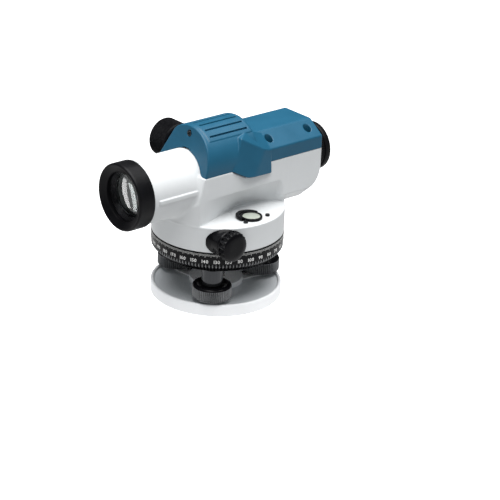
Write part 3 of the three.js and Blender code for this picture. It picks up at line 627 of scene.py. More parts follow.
def foot_pieces(number):
    bush, stem, knob = (f"{part}_{number}" for part in ("foot_bush", "foot_stem", "foot_knob"))
    bottom, top = ends(bush, Z)
    turned(bush, Z, [
        (4.3, bottom), (FOOT_BUSH_R, bottom, 0.8), (FOOT_BUSH_R, top - 0.6, 0.3), (4.3, top - 0.6),
    ], "polished")
    tip, end = ends(stem, Z)
    turned(stem, Z, [
        (0, tip), (2.6, tip + 0.4, 0.4), (3.4, tip + 1.6, 0.3),
        *threaded(3.5, 3.9, tip + 2.6, end - 1.0, 1.0), (3.4, end, 0.3), (0, end),
    ], "steel", 72)
    foot, lid = ends(knob, Z)
    radius = reach(knob, Y) - 0.4
    made = turned(knob, Z, [
        (4.2, foot), (radius - 1.9, foot, 0.8), (radius, foot + 1.2, 0.5), (radius, foot + 1.6, 0, 1),
        (radius, lid - 2.6, 0, 1), (radius, lid - 2.1, 0.4), (radius - 0.5, lid - 1.0, 0.8),
        (radius - 2.2, lid, 1.4), (12.2, lid - 0.1, 0.8), (11.0, lid - 1.0, 0.6), (4.2, lid - 1.1),
    ], "knurled_metal", ribs=(FOOT_KNOB_RIBS, 0.8, 0.8))
    refinish(made, "black_plastic", lambda spot: spot.z > lid - 2.0)
    # the crests of the knurl get a lighter finish: a painted highlight
    light_crests(made, middle(knob), FOOT_KNOB_RIBS, foot + 1.3, lid - 2.2)


def spring_screws():
    for number in SCREW_NUMBERS:
        node = f"spring_screw_{number}"
        bottom, top = ends(node, Z)
        turned(node, Z, [
            (0, bottom), (3.2, bottom, 0.2), (3.2, top - 0.5, 0.5), (2.3, top, 0.3), (1.5, top, 0.1),
            (1.4, top - 0.9), (0, top - 0.9),
        ], "steel", 72, socket=1.5)


# ---------- horizontal circle ----------
CIRCLE_LOW, CIRCLE_HIGH = ends("horizontal_circle", Z)
TICK_TOP = CIRCLE_HIGH - 0.7
TICK_LENGTHS = {10: 3.0, 5: 2.5, 1: 1.8}
TICK_WIDTH = 0.24
NUMBER_MIDDLE_Z = CIRCLE_HIGH - 7.2
NUMBER_SIZE = 3.9
BAND_LOW = CIRCLE_HIGH - 9.5  # the band with the divisions starts here, above the grip ribs
PRINT_HEIGHT = 0.07
GRIP_RIBS = 120
WEB_Z = (46.4, 49.4)  # the flat ring inside the circle
WEB_BORE_R = 13.8


def horizontal_circle():
    r, a, b = DRUM_R, CIRCLE_LOW, CIRCLE_HIGH
    web_low, web_high = WEB_Z
    made = turned("horizontal_circle", Z, [
        (r - 5.6, a - 0.7, 0.3), (r - 4.6, a - 0.6, 0.3), (r - 4.2, a, 0, 1),
        (r - 1.8, BAND_LOW - 3.9, 0.5, 1), (r - 0.2, BAND_LOW - 2.9, 0.8, 1),
        (r - 0.2, BAND_LOW - 0.7, 0.5, 1), (r - 0.5, BAND_LOW - 0.3, 0.2), (r, BAND_LOW, 0.2), (r, b, 0.5),
        (r - 2.6, b, 0.2), (r - 3.2, web_high), (WEB_BORE_R, web_high), (WEB_BORE_R, web_low),
        (r - 5.6, web_low), (r - 9, a),
    ], "black_plastic", ribs=(GRIP_RIBS, 1.3, 0.6))
    # the crests of the grip ribs get a lighter finish: a painted highlight
    light_crests(made, AXIS, GRIP_RIBS, BAND_LOW - 4.4, BAND_LOW - 0.4)


def box_on_drum(angle, half_width, bottom, top):
    """Corners of a thin mark standing on the circle's band."""
    corners = []
    for radius in (DRUM_R - 0.02, DRUM_R + PRINT_HEIGHT):
        for side, z in ((-1, bottom), (1, bottom), (1, top), (-1, top)):
            turn = angle + side * half_width / DRUM_R
            corners.append((radius * math.cos(turn), radius * math.sin(turn), z))
    return corners


def circle_ticks():
    vertices, faces = [], []
    sides = [(0, 3, 2, 1), (4, 5, 6, 7), (0, 1, 5, 4), (1, 2, 6, 5), (2, 3, 7, 6), (3, 0, 4, 7)]
    for degree in range(360):
        length = next(TICK_LENGTHS[k] for k in (10, 5, 1) if degree % k == 0)
        base = len(vertices)
        vertices += box_on_drum(math.radians(degree), TICK_WIDTH / 2, TICK_TOP - length, TICK_TOP)
        faces += [[base + i for i in side] for side in sides]
    add_piece("circle_ticks", vertices, faces, "dial_print", "circle")


def digit_shapes():
    """Each digit as flat-faced geometry, (vertices, faces, width), made from the built-in typeface."""
    shapes = {}
    for digit in "0123456789":
        curve = bpy.data.curves.new("digit_" + digit, "FONT")
        curve.body = digit
        curve.size = NUMBER_SIZE
        curve.extrude = PRINT_HEIGHT
        curve.offset = 0.09
        curve.resolution_u = 3
        source = in_scene("digit_" + digit, curve)
        bpy.context.view_layer.update()
        mesh = bpy.data.meshes.new_from_object(source.evaluated_get(bpy.context.evaluated_depsgraph_get()))
        joined = bmesh.new()
        joined.from_mesh(mesh)
        bmesh.ops.remove_doubles(joined, verts=joined.verts, dist=1e-5)
        joined.to_mesh(mesh)
        joined.free()
        vertices = np.array([v.co for v in mesh.vertices])
        width = vertices[:, 0].max() - vertices[:, 0].min()
        vertices[:, 0] -= vertices[:, 0].min()
        shapes[digit] = (vertices, [list(p.vertices) for p in mesh.polygons], width)
        bpy.data.objects.remove(source)
        bpy.data.curves.remove(curve)
        bpy.data.meshes.remove(mesh)
    return shapes


def circle_numbers():
    """Numbers every ten degrees round the band, rising clockwise seen from above."""
    shapes = digit_shapes()
    space = 0.45
    cap_height = max(v[:, 1].max() for v, _, _ in shapes.values())
    vertices, faces = [], []
    for value in range(0, 360, 10):
        text = str(value)
        total = sum(shapes[d][2] for d in text) + space * (len(text) - 1)
        along = -total / 2
        for digit in text:
            points, polygons, width = shapes[digit]
            base = len(vertices)
            for u, v, w in points:
                angle = math.radians(-value) + (along + u) / DRUM_R
                radius = DRUM_R + w
                z = NUMBER_MIDDLE_Z + v - cap_height / 2
                vertices.append((radius * math.cos(angle), radius * math.sin(angle), z))
            faces += [[base + i for i in polygon] for polygon in polygons]
            along += width + space
    add_piece("circle_numbers", vertices, faces, "dial_print", "circle")


# ---------- tangent drive ----------
TANGENT_BOSS_R = 10.4


def tangent_drive():
    radius = reach("tangent_knob_near", Z)
    bore = SHAFT_R + GAP
    for name, side in (("near", -1), ("far", 1)):
        knob = "tangent_knob_" + name
        inner, outer = sorted(abs(v) for v in ends(knob, Y))
        seat = outer - 5.3
        profile = [
            (0, seat), (bore, seat), (bore, inner), (radius - 1.6, inner, 0.8), (radius, inner + 1.4, 0.5),
            (radius, inner + 2.2, 0.3, 1), (radius - 0.2, outer - 2.6, 0.5, 1),
            (radius - 1.6, outer - 1.1, 0.8), (radius - 3.2, outer - 0.5, 0.8), (radius - 5.5, outer, 1.2),
            (0, outer),
        ]
        turned(knob, Y, [(p[0], side * p[1], *p[2:]) for p in profile], "black_plastic", ribs=(18, 1.3, 1.2))
        tangent_boss("tangent_boss_" + name, side)
    worm = threaded(2.9, 4.0, -5.0, 5.0, 2.0)
    end = reach("tangent_shaft", Y)
    turned("tangent_shaft", Y, [
        (0, -end), (SHAFT_R, -end, 0.3), (SHAFT_R, -5.6), *worm,
        (SHAFT_R, 5.6), (SHAFT_R, end, 0.3), (0, end),
    ], "steel", 72)


def tangent_boss(node, side):
    end = max(abs(v) for v in ends(node, Y))
    foot = 30.0

    def field(p):
        q = [p[X], p[Y] * side, p[Z]]
        drum = off_axis(p, Z, AXIS) - DRUM_R
        flare = 1.6 * np.clip(1 - drum / 4.0, 0, 1) ** 2
        sleeve = off_axis(q, Y, TANGENT) - TANGENT_BOSS_R - flare
        boss = both(sleeve, between(q[Y], foot, end), 2.6)
        boss = both(boss, -(drum - GAP), 0.2)
        return without(boss, off_axis(q, Y, TANGENT) - SHAFT_R - GAP, 0.2)

    skinned(node, field, "black_plastic", SMALL_CELL, 2.0)


# ---------- housing ----------
FRONT_FOOT = (-45.5, 0, 100)  # the front wall leans back above this line
FRONT_LEAN = 0.25
NECK_FOOT = [(-41.6, 31.2), (11.3, 11.7), (24.8, 13.8), (32.2, 18.0), (40.9, 24.6), (47.5, 31.2)]
FLAP_TIP = (1.2, 110.6)
FLAP_REAR = (27.8, 108.6)
FLAP_START = (-12.4, SPLIT_Z)


def front_wall(p, setback=0.0):
    """Positive in front of the leaning wall, which sweeps forward below its foot."""
    rise = p[Z] - FRONT_FOOT[Z]
    sweep = 0.05 * np.minimum(rise, 0) ** 2
    return (FRONT_FOOT[X] + setback + FRONT_LEAN * rise - sweep - p[X]) / math.hypot(1, FRONT_LEAN)


def neck_sides(p):
    """Flat sides above the crease that run in to the neck's foot on the shelf below it."""
    foot_x, foot_y = zip(*NECK_FOOT)
    foot = sum(np.interp(p[X] + shift, foot_x, foot_y) for shift in (-6, -3, 0, 3, 6)) / 5
    share = np.clip((CREASE_Z - p[Z]) / (CREASE_Z - SHELF_Z), 0, 1)
    half = BODY_HALF_W + (foot - BODY_HALF_W) * share
    lean = (BODY_HALF_W - foot) / (CREASE_Z - SHELF_Z) * (share > 0)
    return (np.abs(p[Y]) - half) / np.sqrt(1 + lean**2)


def rear_section(p, inset=0.0):
    """Cross-section behind the drum: flat sides down to a ledge, then a bevel to the bottom."""
    half = BODY_HALF_W - inset
    run, rise = BODY_HALF_W - REAR_BOTTOM_HALF_W, REAR_LEDGE_Z - BODY_BOTTOM
    bevel = ((np.abs(p[Y]) - BODY_HALF_W) * rise + (REAR_LEDGE_Z - p[Z]) * run) / math.hypot(run, rise)
    under = both(bevel + inset, BODY_BOTTOM + inset - p[Z], 3.0)
    under = both(under, p[X] - BODY_REAR + inset, REAR_CORNER_R - inset)
    return both(under, np.abs(p[Y]) - half, 0.7)


def flap_pockets(p):
    """Shallow pockets in both sides, where the cover's flaps lie."""
    corners = [FLAP_START, FLAP_TIP, FLAP_REAR, (FLAP_REAR[0], SPLIT_Z + 2), (FLAP_START[0], SPLIT_Z + 2)]
    cut = outline(p, X, Z, corners) - 0.45
    return both(cut, BODY_HALF_W - 1.8 - np.abs(p[Y]))


def housing_field(p):
    edge = 0.9
    drum_side = off_axis(p, Z, AXIS) - DRUM_R
    top = p[Z] - SPLIT_Z
    neck = both(neck_sides(p), drum_side, edge)
    neck = both(neck, SHELF_Z - 1 - p[Z])
    neck = both(neck, front_wall(p), edge)
    rear = both(rear_section(p), 40.0 - p[X], 5.0)
    drum = both(drum_side, between(p[Z], DRUM_BOTTOM, SHELF_Z), edge)
    body = both(either(neck, rear, 3.0), np.abs(p[Y]) - BODY_HALF_W, 0.3)
    body = either(both(body, top, 0.3), drum, 1.0)
    tube = cylinder(p, X, SIGHT_LINE, TUBE_R, TUBE_FRONT, -33.0, 0.5)
    body = either(body, tube, 3.0)
    body = hollowed(either(body, tube_ribs(p), 0.8), p)
    tube_end = cylinder(p, X, SIGHT_LINE, TUBE_R, -40, -33, 0.3)
    tube_end = without(tube_end, off_axis(p, X, SIGHT_LINE) - TUBE_BORE_R)
    return either(body, tube_end)


def tube_ribs(p):
    """Flat raised ribs along the top and the sides of the tube."""
    radius = off_axis(p, X, SIGHT_LINE)
    raised = between(radius, TUBE_R - 2, TUBE_R + 1.1)
    top = both(between(p[Y], -4, 4), between(p[X], -86.4, -39.5), 0.5)
    top = both(both(top, raised, 0.5), 100 - p[Z])
    sides = both(between(p[Z], SIGHT_Z - 2.8, SIGHT_Z + 1.2), between(p[X], -82.4, -44.5), 0.5)
    sides = both(both(sides, raised, 0.5), 15 - np.abs(p[Y]))
    return np.minimum(top, sides)


def hollowed(body, p):
    """The housing with its hollows, seats and bores."""
    inner = BODY_HALF_W - WALL
    rear = BODY_REAR - WALL
    cavities = [
        cylinder(p, Z, AXIS, DRUM_R - 3.5, DRUM_BOTTOM - 3, SHELF_Z - 3.2),
        # under the cover, down through the neck, and the compensator frame's seat
        block(p, (-38, rear), (-inner, inner), (CREASE_Z, SPLIT_Z + 30)),
        block(p, (-38, 62), (-16, 16), (90, CREASE_Z + 1)),
        block(p, (29.4, 64.6), (-19.6, 19.6), (CREASE_Z - 3.4, CREASE_Z + 1)),
        cylinder(p, Z, AXIS, 11.5, 82.5, 92),
        both(rear_section(p, WALL), between(p[X], DRUM_R + 1, rear)),
        cylinder(p, X, SIGHT_LINE, TUBE_BORE_R, TUBE_FRONT - 3, -30),
        # seats of the bearing bush, the bubble, the eyepiece and the tangent shaft
        cylinder(p, Z, AXIS, 11.3, 60, 90),
        cylinder(p, Z, BUBBLE, 7.2, 70, 84),
        cylinder(p, X, SIGHT_LINE, EYEPIECE_SEAT_R, 76, 90),
        cylinder(p, Y, TANGENT, 4.4, -60, 60),
        flap_pockets(p),
    ]
    for cavity in cavities:
        body = without(body, cavity, 0.25)
    return body


# ---------- cover ----------
COVER_SETBACK = 1.2
PANEL_HALF_ANGLE = 43.0
GROOVE_ANGLES = (-35, -21, -7, 7, 21, 35)
GROOVE_ENDS = (-26.0, 12.5)
COVER_SCREWS = {number: middle(f"cover_screw_{number}") for number in (1, 2, 3, 4)}
COVER_PILLAR_R = 4.6
COVER_RECESS_R = 3.4
FRONT_SCREW = middle("cover_screw_5")
FRONT_PILLAR_R = 4.2
FRONT_RECESS_R = 2.6
SCREW_SEAT_Z = low("cover_screw_1")[Z] - 0.1


def barrel_section(p, inset=0.0):
    """An arch above its centre and straight sides below it."""
    return np.hypot(p[Y], np.maximum(p[Z] - BARREL_Z, 0)) - (BARREL_R - inset)


def roof_slope(p):
    """Positive outside the sloping sides of the roof."""
    run, rise = BODY_HALF_W - ROOF_HALF_W, ROOF_Z - EAVE_Z
    return ((np.abs(p[Y]) - BODY_HALF_W) * rise + (p[Z] - EAVE_Z) * run) / math.hypot(run, rise)


def roof_section(p, inset=0.0):
    edge = 0.8 if inset == 0 else 0.0
    roof = both(p[Z] - ROOF_Z + inset, roof_slope(p) + inset, edge)
    return both(roof, np.abs(p[Y]) - BODY_HALF_W + inset, edge)


def raised_panel(p):
    """The slightly raised panel that carries the grooves on top of the barrel."""
    radius = np.hypot(p[Y], p[Z] - BARREL_Z)
    angle = np.degrees(np.arctan2(np.abs(p[Y]), p[Z] - BARREL_Z))
    across = (angle - PANEL_HALF_ANGLE) * math.radians(1) * BARREL_R
    panel = both(across, between(p[X], GROOVE_ENDS[0] - 3.0, GROOVE_ENDS[1] + 2.6), 0.4)
    return both(panel, between(radius, BARREL_R - 1.5, BARREL_R), 0.4)


def groove_slots(p):
    """Grooves along the barrel, cut to a flat bottom."""
    slots = None
    for degrees in GROOVE_ANGLES:
        cos, sin = math.cos(math.radians(degrees)), math.sin(math.radians(degrees))
        across = p[Y] * cos + (p[Z] - BARREL_Z) * sin
        outward = (p[Z] - BARREL_Z) * cos - p[Y] * sin
        slot = both(np.abs(across) - 0.75, between(p[X], *GROOVE_ENDS), 0.5)
        slot = both(slot, BARREL_R - 1.7 - outward, 0.2)
        slots = slot if slots is None else np.minimum(slots, slot)
    return slots


HOOD_TOP = (-0.8, 26.9, 141.9)  # where the hood leaves the barrel
HOOD_EAVE = (20.3, 31.9, 129.8)  # where it meets the eave of the roof
HOOD_LIMIT_Z = 146.0  # above all faces of the hood


def plane_through(a, b, c):
    """A point and the normal of a plane, with the normal on the side of growing Y."""
    normal = (Vector(b) - Vector(a)).cross(Vector(c) - Vector(a))
    return a, normal if normal.y > 0 else -normal


HOOD_FACE = plane_through(HOOD_TOP, HOOD_EAVE, (FLAP_START[0], 31.7, FLAP_START[1]))
HOOD_REAR_FACE = plane_through(
    HOOD_EAVE, (FLAP_TIP[0], 36.2, FLAP_TIP[1]), (FLAP_REAR[0], 32.9, FLAP_REAR[1]))
HOOD_CHAMFER = (HOOD_TOP, (0.265, 0.619, 0.739))


def cheek(p, side):
    """The hood between the barrel and the flat side, whose flap hangs over the housing."""
    q = [p[X], p[Y] * side, p[Z]]
    slab = outline(q, X, Z, [
        FLAP_START, FLAP_TIP, FLAP_REAR, (FLAP_REAR[0], HOOD_LIMIT_Z), (FLAP_TIP[0], HOOD_LIMIT_Z)], 0.6)
    hood = both(both(slab, half_space(q, *HOOD_FACE), 0.5), half_space(q, *HOOD_REAR_FACE), 0.5)
    hood = both(hood, half_space(q, *HOOD_CHAMFER), 0.5)
    hood = both(hood, half_space(q, HOOD_TOP, (-0.25, 0, 0.97)), 0.5)
    inner = np.where(q[Z] < SPLIT_Z + GAP, BODY_HALF_W - 1.5, 18.0)
    return both(hood, inner - q[Y], 0.2)


def far_front_bevel(p):
    """The barrel's far front corner is cut back for the fingers that turn the focusing knob."""
    return half_space(p, (-37.0, 27.0, 127.5), (-0.42, 0.77, 0.48))


def cover_field(p):
    barrel = both(barrel_section(p, 0.45), between(p[X], -60, BARREL_REAR), 0.6)
    barrel = either(barrel, raised_panel(p), 0.3)
    rear = both(roof_section(p), between(p[X], BARREL_REAR - 6, BODY_REAR), 0.8)
    body = both(either(barrel, rear, 0.6), front_wall(p, COVER_SETBACK), 0.8)
    body = both(body, far_front_bevel(p), 1.2)
    body = both(body, SPLIT_Z + 0.05 - p[Z], 0.3)
    for side in (-1, 1):
        body = either(body, cheek(p, side), 0.3)
    inside_front = both(barrel_section(p, WALL), between(p[X], -60, BARREL_REAR - 2))
    inside_front = both(inside_front, both(front_wall(p, 4.0), far_front_bevel(p) + WALL))
    inside_rear = both(roof_section(p, WALL), between(p[X], BARREL_REAR - 8, BODY_REAR - WALL))
    shell = without(body, np.minimum(inside_front, inside_rear), 0.2)
    return screwed(shell, body, p)


def screwed(shell, body, p):
    """Screw pillars inside the shell, then the screw holes and openings."""
    for place in COVER_SCREWS.values():
        pillar = both(cylinder(p, Z, place, COVER_PILLAR_R, SCREW_SEAT_Z - 3.8, 150), body)
        shell = np.minimum(shell, pillar)
    front_pillar = both(cylinder(p, X, FRONT_SCREW, FRONT_PILLAR_R, -60, -27), body)
    shell = np.minimum(shell, front_pillar)
    for place in COVER_SCREWS.values():
        shell = without(shell, cylinder(p, Z, place, COVER_RECESS_R, SCREW_SEAT_Z, 160), 0.35)
    shell = without(shell, cylinder(p, X, FRONT_SCREW, FRONT_RECESS_R, -60, -31.2), 0.35)
    tube_top = SIGHT_Z + TUBE_R
    openings = [
        cylinder(p, X, SIGHT_LINE, TUBE_R + GAP, -60, -30),
        block(p, (-60, -30), (-4.4, 4.4), (tube_top - 3, tube_top + 1.5)),
        cylinder(p, X, SIGHT_LINE, EYEPIECE_SEAT_R, 76, 92),
        cylinder(p, Y, FOCUS, 4.6, 10, 60),
    ]
    for opening in openings:
        shell = without(shell, opening, 0.2)
    return without(shell, groove_slots(p), 0.25)


def cover_screws():
    for number in COVER_SCREWS:
        node = f"cover_screw_{number}"
        bottom, top = ends(node, Z)
        turned(node, Z, [
            (0, bottom), (3.2, bottom, 0.1), (3.2, bottom + 0.6, 0.1), (2.5, bottom + 0.6), (2.5, top, 0.5),
            (1.35, top, 0.1), (1.25, top - 1.0), (0, top - 1.0),
        ], "black_plastic", 72, socket=1.35)
    front, back = ends("cover_screw_5", X)
    turned("cover_screw_5", X, [
        (0, back), (2.3, back, 0.2), (2.3, front, 0.4), (1.3, front, 0.1), (1.2, front + 0.8),
        (0, front + 0.8),
    ], "black_anodised", 72, socket=1.3)


# ---------- telescope ----------
def objective():
    front, back = ends("objective_rim", X)
    radius = reach("objective_rim", Z)
    turned("objective_rim", X, [
        (TUBE_R + GAP, back), (radius, back, 0.7), (radius, front + 1.0, 1.2), (radius - 1.1, front, 0.8),
        (radius - 2.0, front + 0.2, 0.6), (21.2, front + 3.0, 0.8), (20.4, front + 3.4, 0.3),
        (20.2, TUBE_FRONT - GAP, 0.3), (TUBE_R + GAP, TUBE_FRONT - GAP),
    ], "black_rubber", 240)
    face, back = ends("objective_cell", X)
    turned("objective_cell", X, [
        (TUBE_BORE_R - GAP, face, 0.3), (TUBE_BORE_R - GAP, back, 0.3), (17, back), (17, face + 8.6),
        (18.3, face + 8.6), (18.3, face + 2.6, 0.2), (18.9, face + 2.6, 0.2), (18.9, face + 1.7, 0.2),
        (19.6, face + 1.7, 0.2), (19.6, face + 0.8, 0.2), (20.3, face + 0.8, 0.2), (20.3, face, 0.2),
    ], "black_anodised", 192)
    turned("objective_lens", X, lens_profile("objective_lens", 1.8, 0.8, 0.6), "glass", 192)
    turned("focus_lens", X, lens_profile("focus_lens", -1.0, -1.0, 0.2), "glass", 96)
    turned("eye_lens", X, lens_profile("eye_lens", 0.8, 1.0, 0.2), "glass", 96)


def lens_profile(node, front_bulge, back_bulge, edge):
    """A lens along X that fills its node: spherical faces, hollow ones where the bulge is negative."""
    radius = reach(node, Z)
    front, back = ends(node, X)
    steps = 24
    rim_front = front + max(front_bulge, 0)
    rim_back = back - max(back_bulge, 0)
    shares = [i / steps for i in range(steps + 1)]
    face = [(s * radius, rim_front - front_bulge * (1 - s * s)) for s in shares]
    rear = [(s * radius, rim_back + back_bulge * (1 - s * s)) for s in reversed(shares)]
    face[-1] = (radius, rim_front, edge)
    rear[0] = (radius, rim_back, edge)
    return face + rear


def eyepiece():
    bore = EYEPIECE_BORE_R
    start = low("eyepiece_flange")[X]
    turned("eyepiece_flange", X, [
        (bore, start), (13.1, start, 0.2), (13.1, 84.2), (17.4, 84.2, 0.3), (17.4, 87.4, 0.9), (bore, 87.4),
    ], "black_anodised")
    start, end = ends("dioptre_ring", X)
    radius = reach("dioptre_ring", Z)
    turned("dioptre_ring", X, [
        (bore, start), (radius - 1, start, 0.4), (radius, start + 1.0, 0.3), (radius, start + 1.6, 0, 1),
        (radius, end - 0.9, 0, 1), (radius - 0.2, end, 0.3), (bore, end),
    ], "black_plastic", ribs=(64, 0.55, 1.0))
    start, end = ends("eyecup", X)
    radius = reach("eyecup", Z)
    turned("eyecup", X, [
        (bore, start), (radius - 0.9, start, 0.3), (radius, start + 0.9, 0.5), (radius, end - 0.5, 1.3),
        (radius - 1.8, end, 0.6), (14.0, end - 0.6, 0.8), (bore, end - 3.5, 0.5),
    ], "black_rubber", 192)
    turned("eyepiece_cell", X, [
        (8.3, 83), (10.3, 83, 0.3), (10.3, 101, 0.3), (8.3, 101, 0.3),
    ], "black_anodised", 96)
    turned("reticle_ring", X, [
        (7.3, 77.2), (12.6, 77.2, 0.3), (12.6, 80.6, 0.3), (7.3, 80.6, 0.3),
    ], "black_anodised", 96)
    turned("reticle", X, [(0, 78), (7, 78, 0.2), (7, 79.6, 0.2), (0, 79.6)], "glass", 96)


def focusing():
    inner, outer = ends("focus_knob", Y)
    radius = reach("focus_knob", Z)
    bore, seat, dish = SHAFT_R + GAP, 52.3, outer - 0.7
    turned("focus_knob", Y, [
        (0, seat), (bore, seat), (bore, inner), (radius - 1.4, inner, 0.6), (radius, inner + 1.1, 0.4),
        (radius, inner + 1.7, 0, 1), (radius, outer - 2.4, 0, 1), (radius, outer - 1.7, 0.4),
        (radius - 1.8, outer, 1.0), (radius - 4.0, outer, 0.5), (radius - 4.6, dish, 0.5), (0, dish),
    ], "black_rubber", ribs=(88, 0.5, 0.9))

    def field(p):
        collar = cylinder(p, Y, FOCUS, 12.6, 20, high("focus_collar")[Y], 0.6)
        collar = both(collar, -(barrel_section(p, 0.45) - 0.1), 0.2)
        collar = both(collar, np.where(p[Z] > BARREL_Z, -9.0, BODY_HALF_W + GAP - p[Y]))
        collar = both(collar, -(cheek(p, 1) - GAP))
        return without(collar, off_axis(p, Y, FOCUS) - SHAFT_R - GAP, 0.2)

    skinned("focus_collar", field, "black_plastic", SMALL_CELL)


# ---------- insides ----------
def insides():
    bore = SPINDLE_R + GAP
    turned("bearing_bush", Z, [
        (bore, 74.2), (13.5, 74.2, 0.2), (13.5, 74.9, 0.2), (11, 74.9), (11, 82.6, 0.3), (bore, 82.6, 0.2),
    ], "brass", 96)
    end = reach("pendulum_pivot", Y)
    turned("pendulum_pivot", Y, [(0, -end), (1.5, -end, 0.3), (1.5, end, 0.3), (0, end)], "steel", 48)


# ---------- circular bubble ----------
def bubble():
    z = SHELF_Z
    turned("bubble_cup", Z, [
        (5, 73.2), (6.9, 73.2, 0.3), (6.9, z + 0.1), (8.6, z + 0.1, 0.1), (8.6, z + 0.7, 0.1), (6.5, z + 0.7),
        (6.5, 74.6), (5, 74.6),
    ], "black_plastic", 96)
    top = high("bubble_vial")[Z]
    turned("bubble_vial", Z, [
        (0, 74.9), (6.2, 74.9, 0.3), (6.2, z + 0.8, 0.2), (7.3, z + 0.8, 0.2), (7.3, z + 1.6, 0.3),
        (4.6, top - 0.2, 0.8), (2.4, top - 0.05, 0.8), (0, top),
    ], "vial", 96)
    bottom, top = ends("bubble_bezel", Z)
    radius = reach("bubble_bezel", Y)
    turned("bubble_bezel", Z, [
        (7.5, bottom), (radius, bottom, 0.2), (radius, top, 0.8), (7.7, top, 0.3), (7.5, top - 0.4, 0.2),
    ], "black_plastic", 128)
    crescent()
    for number in (1, 2):
        node = f"bubble_screw_{number}"
        base, head = ends(node, Z)
        turned(node, Z, [
            (0, base), (1.9, base, 0.1), (1.9, head, 0.5), (0.95, head, 0.1), (0.9, head - 0.7),
            (0, head - 0.7),
        ], "black_anodised", 48, socket=0.95)


def crescent():
    """The guard behind the bubble, thick in its middle and thin at its ends."""
    bottom, top = ends("bubble_guard", Z)
    lean = math.radians(115)
    offset, outer_r, inner_r = 2.3, 10.8, 9.4

    def field(p):
        u, v = p[X] - BUBBLE[X], p[Y] - BUBBLE[Y]
        outer = np.hypot(u - offset * math.cos(lean), v - offset * math.sin(lean)) - outer_r
        ring = both(outer, inner_r - np.hypot(u, v), 0.25)
        ends = -(u * math.cos(lean) + v * math.sin(lean)) - 1.0
        guard = both(ring, ends, 0.3)
        return both(guard, between(p[Z], bottom, top), 0.5)

    skinned("bubble_guard", field, "black_plastic", SMALL_CELL / 1.5)


# ---------- CAD nodes that stay ----------
def finish_frame_nodes():
    for node, thing in frame["nodes"].items():
        if thing.hide_render:
            continue
        finish = LOOKS[LOOK_OF_NODE[node]]
        if not thing.material_slots:
            thing.data.materials.append(finish)
        for slot in thing.material_slots:
            slot.material = finish


# ---------- stage ----------
CAMERA_PLACE = Vector((-0.9346, -1.0987, 0.6733))  # metres
CAMERA_AZIMUTH = -41.48  # this and the next two in degrees
CAMERA_ELEVATION = 23.82
CAMERA_ROLL = 2.34
CAMERA_LENS = 136.75  # focal length, on a sensor 36 mm wide


def camera():
    data = bpy.data.cameras.new("camera")
    data.lens = CAMERA_LENS
    data.sensor_width = 36.0
    data.clip_end = 50.0
    made = in_scene("camera", data)
    turn, tilt, roll = (math.radians(v) for v in (CAMERA_AZIMUTH, CAMERA_ELEVATION, CAMERA_ROLL))
    back = Vector((math.sin(turn) * math.cos(tilt), -math.cos(turn) * math.cos(tilt), math.sin(tilt)))
    level = Vector((math.cos(turn), math.sin(turn), 0))
    up = back.cross(level)
    right = level * math.cos(roll) + up * math.sin(roll)
    rotation = Matrix((right, back.cross(right), back)).transposed()
    made.matrix_world = Matrix.Translation(CAMERA_PLACE) @ rotation.to_4x4()
    bpy.context.scene.camera = made


def softbox(name, place, size, power, aim):
    """An area light that the camera doesn't see, with its place, size and aim in metres."""
    data = bpy.data.lights.new(name, "AREA")
    data.shape = "RECTANGLE"
    data.size, data.size_y = size
    data.energy = power
    made = in_scene(name, data)
    made.location = place
    made.rotation_mode = "QUATERNION"
    made.rotation_quaternion = (Vector(place) - Vector(aim)).to_track_quat("Z", "Y")
    made.visible_camera = False
    return made


NEAR_GLOW = 0.9  # how much light the floor close to the base throws back up
MIRRORED_FLOOR = 0.36  # how bright the floor looks in shiny surfaces
ROOM_LIGHT = 0.5  # soft light from all round on matt surfaces
MIRRORED_ROOM = 0.05  # how bright the room looks in shiny surfaces


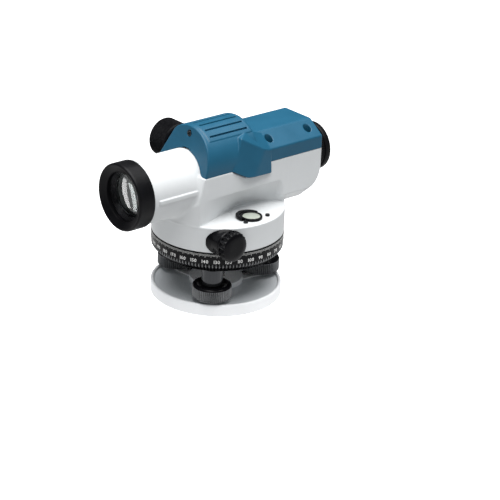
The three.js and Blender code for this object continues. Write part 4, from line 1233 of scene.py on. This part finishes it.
def floor():
    half, depth = 8.0, -0.0002  # metres
    mesh = bpy.data.meshes.new("floor")
    mesh.from_pydata([(-half, -half, depth), (half, -half, depth), (half, half, depth), (-half, half, depth)],
                     [], [(0, 1, 2, 3)])
    made = in_scene("floor", mesh)
    g = Graph("floor_white")
    path = g.node("ShaderNodeLightPath").outputs
    far = g.node("ShaderNodeVectorMath", {0: g.place}, operation="LENGTH").outputs["Value"]
    glow = g.spread(far, 60.0, 270.0, NEAR_GLOW, 0.0)
    shade = g.mixed(path["Is Camera Ray"], (0.2, 0.2, 0.2, 1), (0.85, 0.85, 0.85, 1))
    mirrored = g.math("MULTIPLY", path["Is Glossy Ray"], MIRRORED_FLOOR)
    lift = g.math("ADD", g.math("MAXIMUM", glow, mirrored), g.math("MULTIPLY", path["Is Camera Ray"], 0.3))
    g.set(base_color=shade, roughness=0.7, emission_color=(1, 1, 1, 1), emission_strength=lift)
    mesh.materials.append(g.material)


def surroundings():
    world = bpy.data.worlds.new("studio")
    bpy.context.scene.world = world
    world.use_nodes = True
    tree = world.node_tree
    background = tree.nodes["Background"]
    background.inputs["Color"].default_value = (0.94, 0.97, 1.0, 1)
    path = tree.nodes.new("ShaderNodeLightPath")
    strength = tree.nodes.new("ShaderNodeMapRange")
    strength.inputs["To Min"].default_value = MIRRORED_ROOM
    strength.inputs["To Max"].default_value = ROOM_LIGHT
    tree.links.new(path.outputs["Is Diffuse Ray"], strength.inputs["Value"])
    tree.links.new(strength.outputs["Result"], background.inputs["Strength"])


def lens_card():
    """A small light in front of the objective that only the lens receives, for its bright reflection."""
    card = softbox("lens_card", place=(-0.163, 0.121, 0.053), size=(0.034, 0.07), power=0.04,
                   aim=(-0.093, 0, 0.106))
    receivers = bpy.data.collections.new("lens_card_receivers")
    receivers.objects.link(bpy.data.objects["objective_lens_fine"])
    card.light_linking.receiver_collection = receivers


def stage():
    floor()
    surroundings()
    softbox("overhead", place=(0.0, -0.05, 1.45), size=(1.5, 1.5), power=42, aim=(0, 0, 0.09))
    lens_card()
    camera()
    view = bpy.context.scene.view_settings
    view.view_transform = "Standard"


# ---------- assembly ----------
base_plate()
base_insides()
spring_plate()
spring_screws()
levelling_head()
for screw_number in SCREW_NUMBERS:
    foot_pieces(screw_number)
horizontal_circle()
circle_ticks()
circle_numbers()
tangent_drive()
skinned("housing", housing_field, "silver_paint", FINE_CELL, 2.0)
skinned("top_cover", cover_field, "blue_plastic", FINE_CELL, 5.0)
cover_screws()
objective()
eyepiece()
focusing()
insides()
bubble()
finish_frame_nodes()
stage()
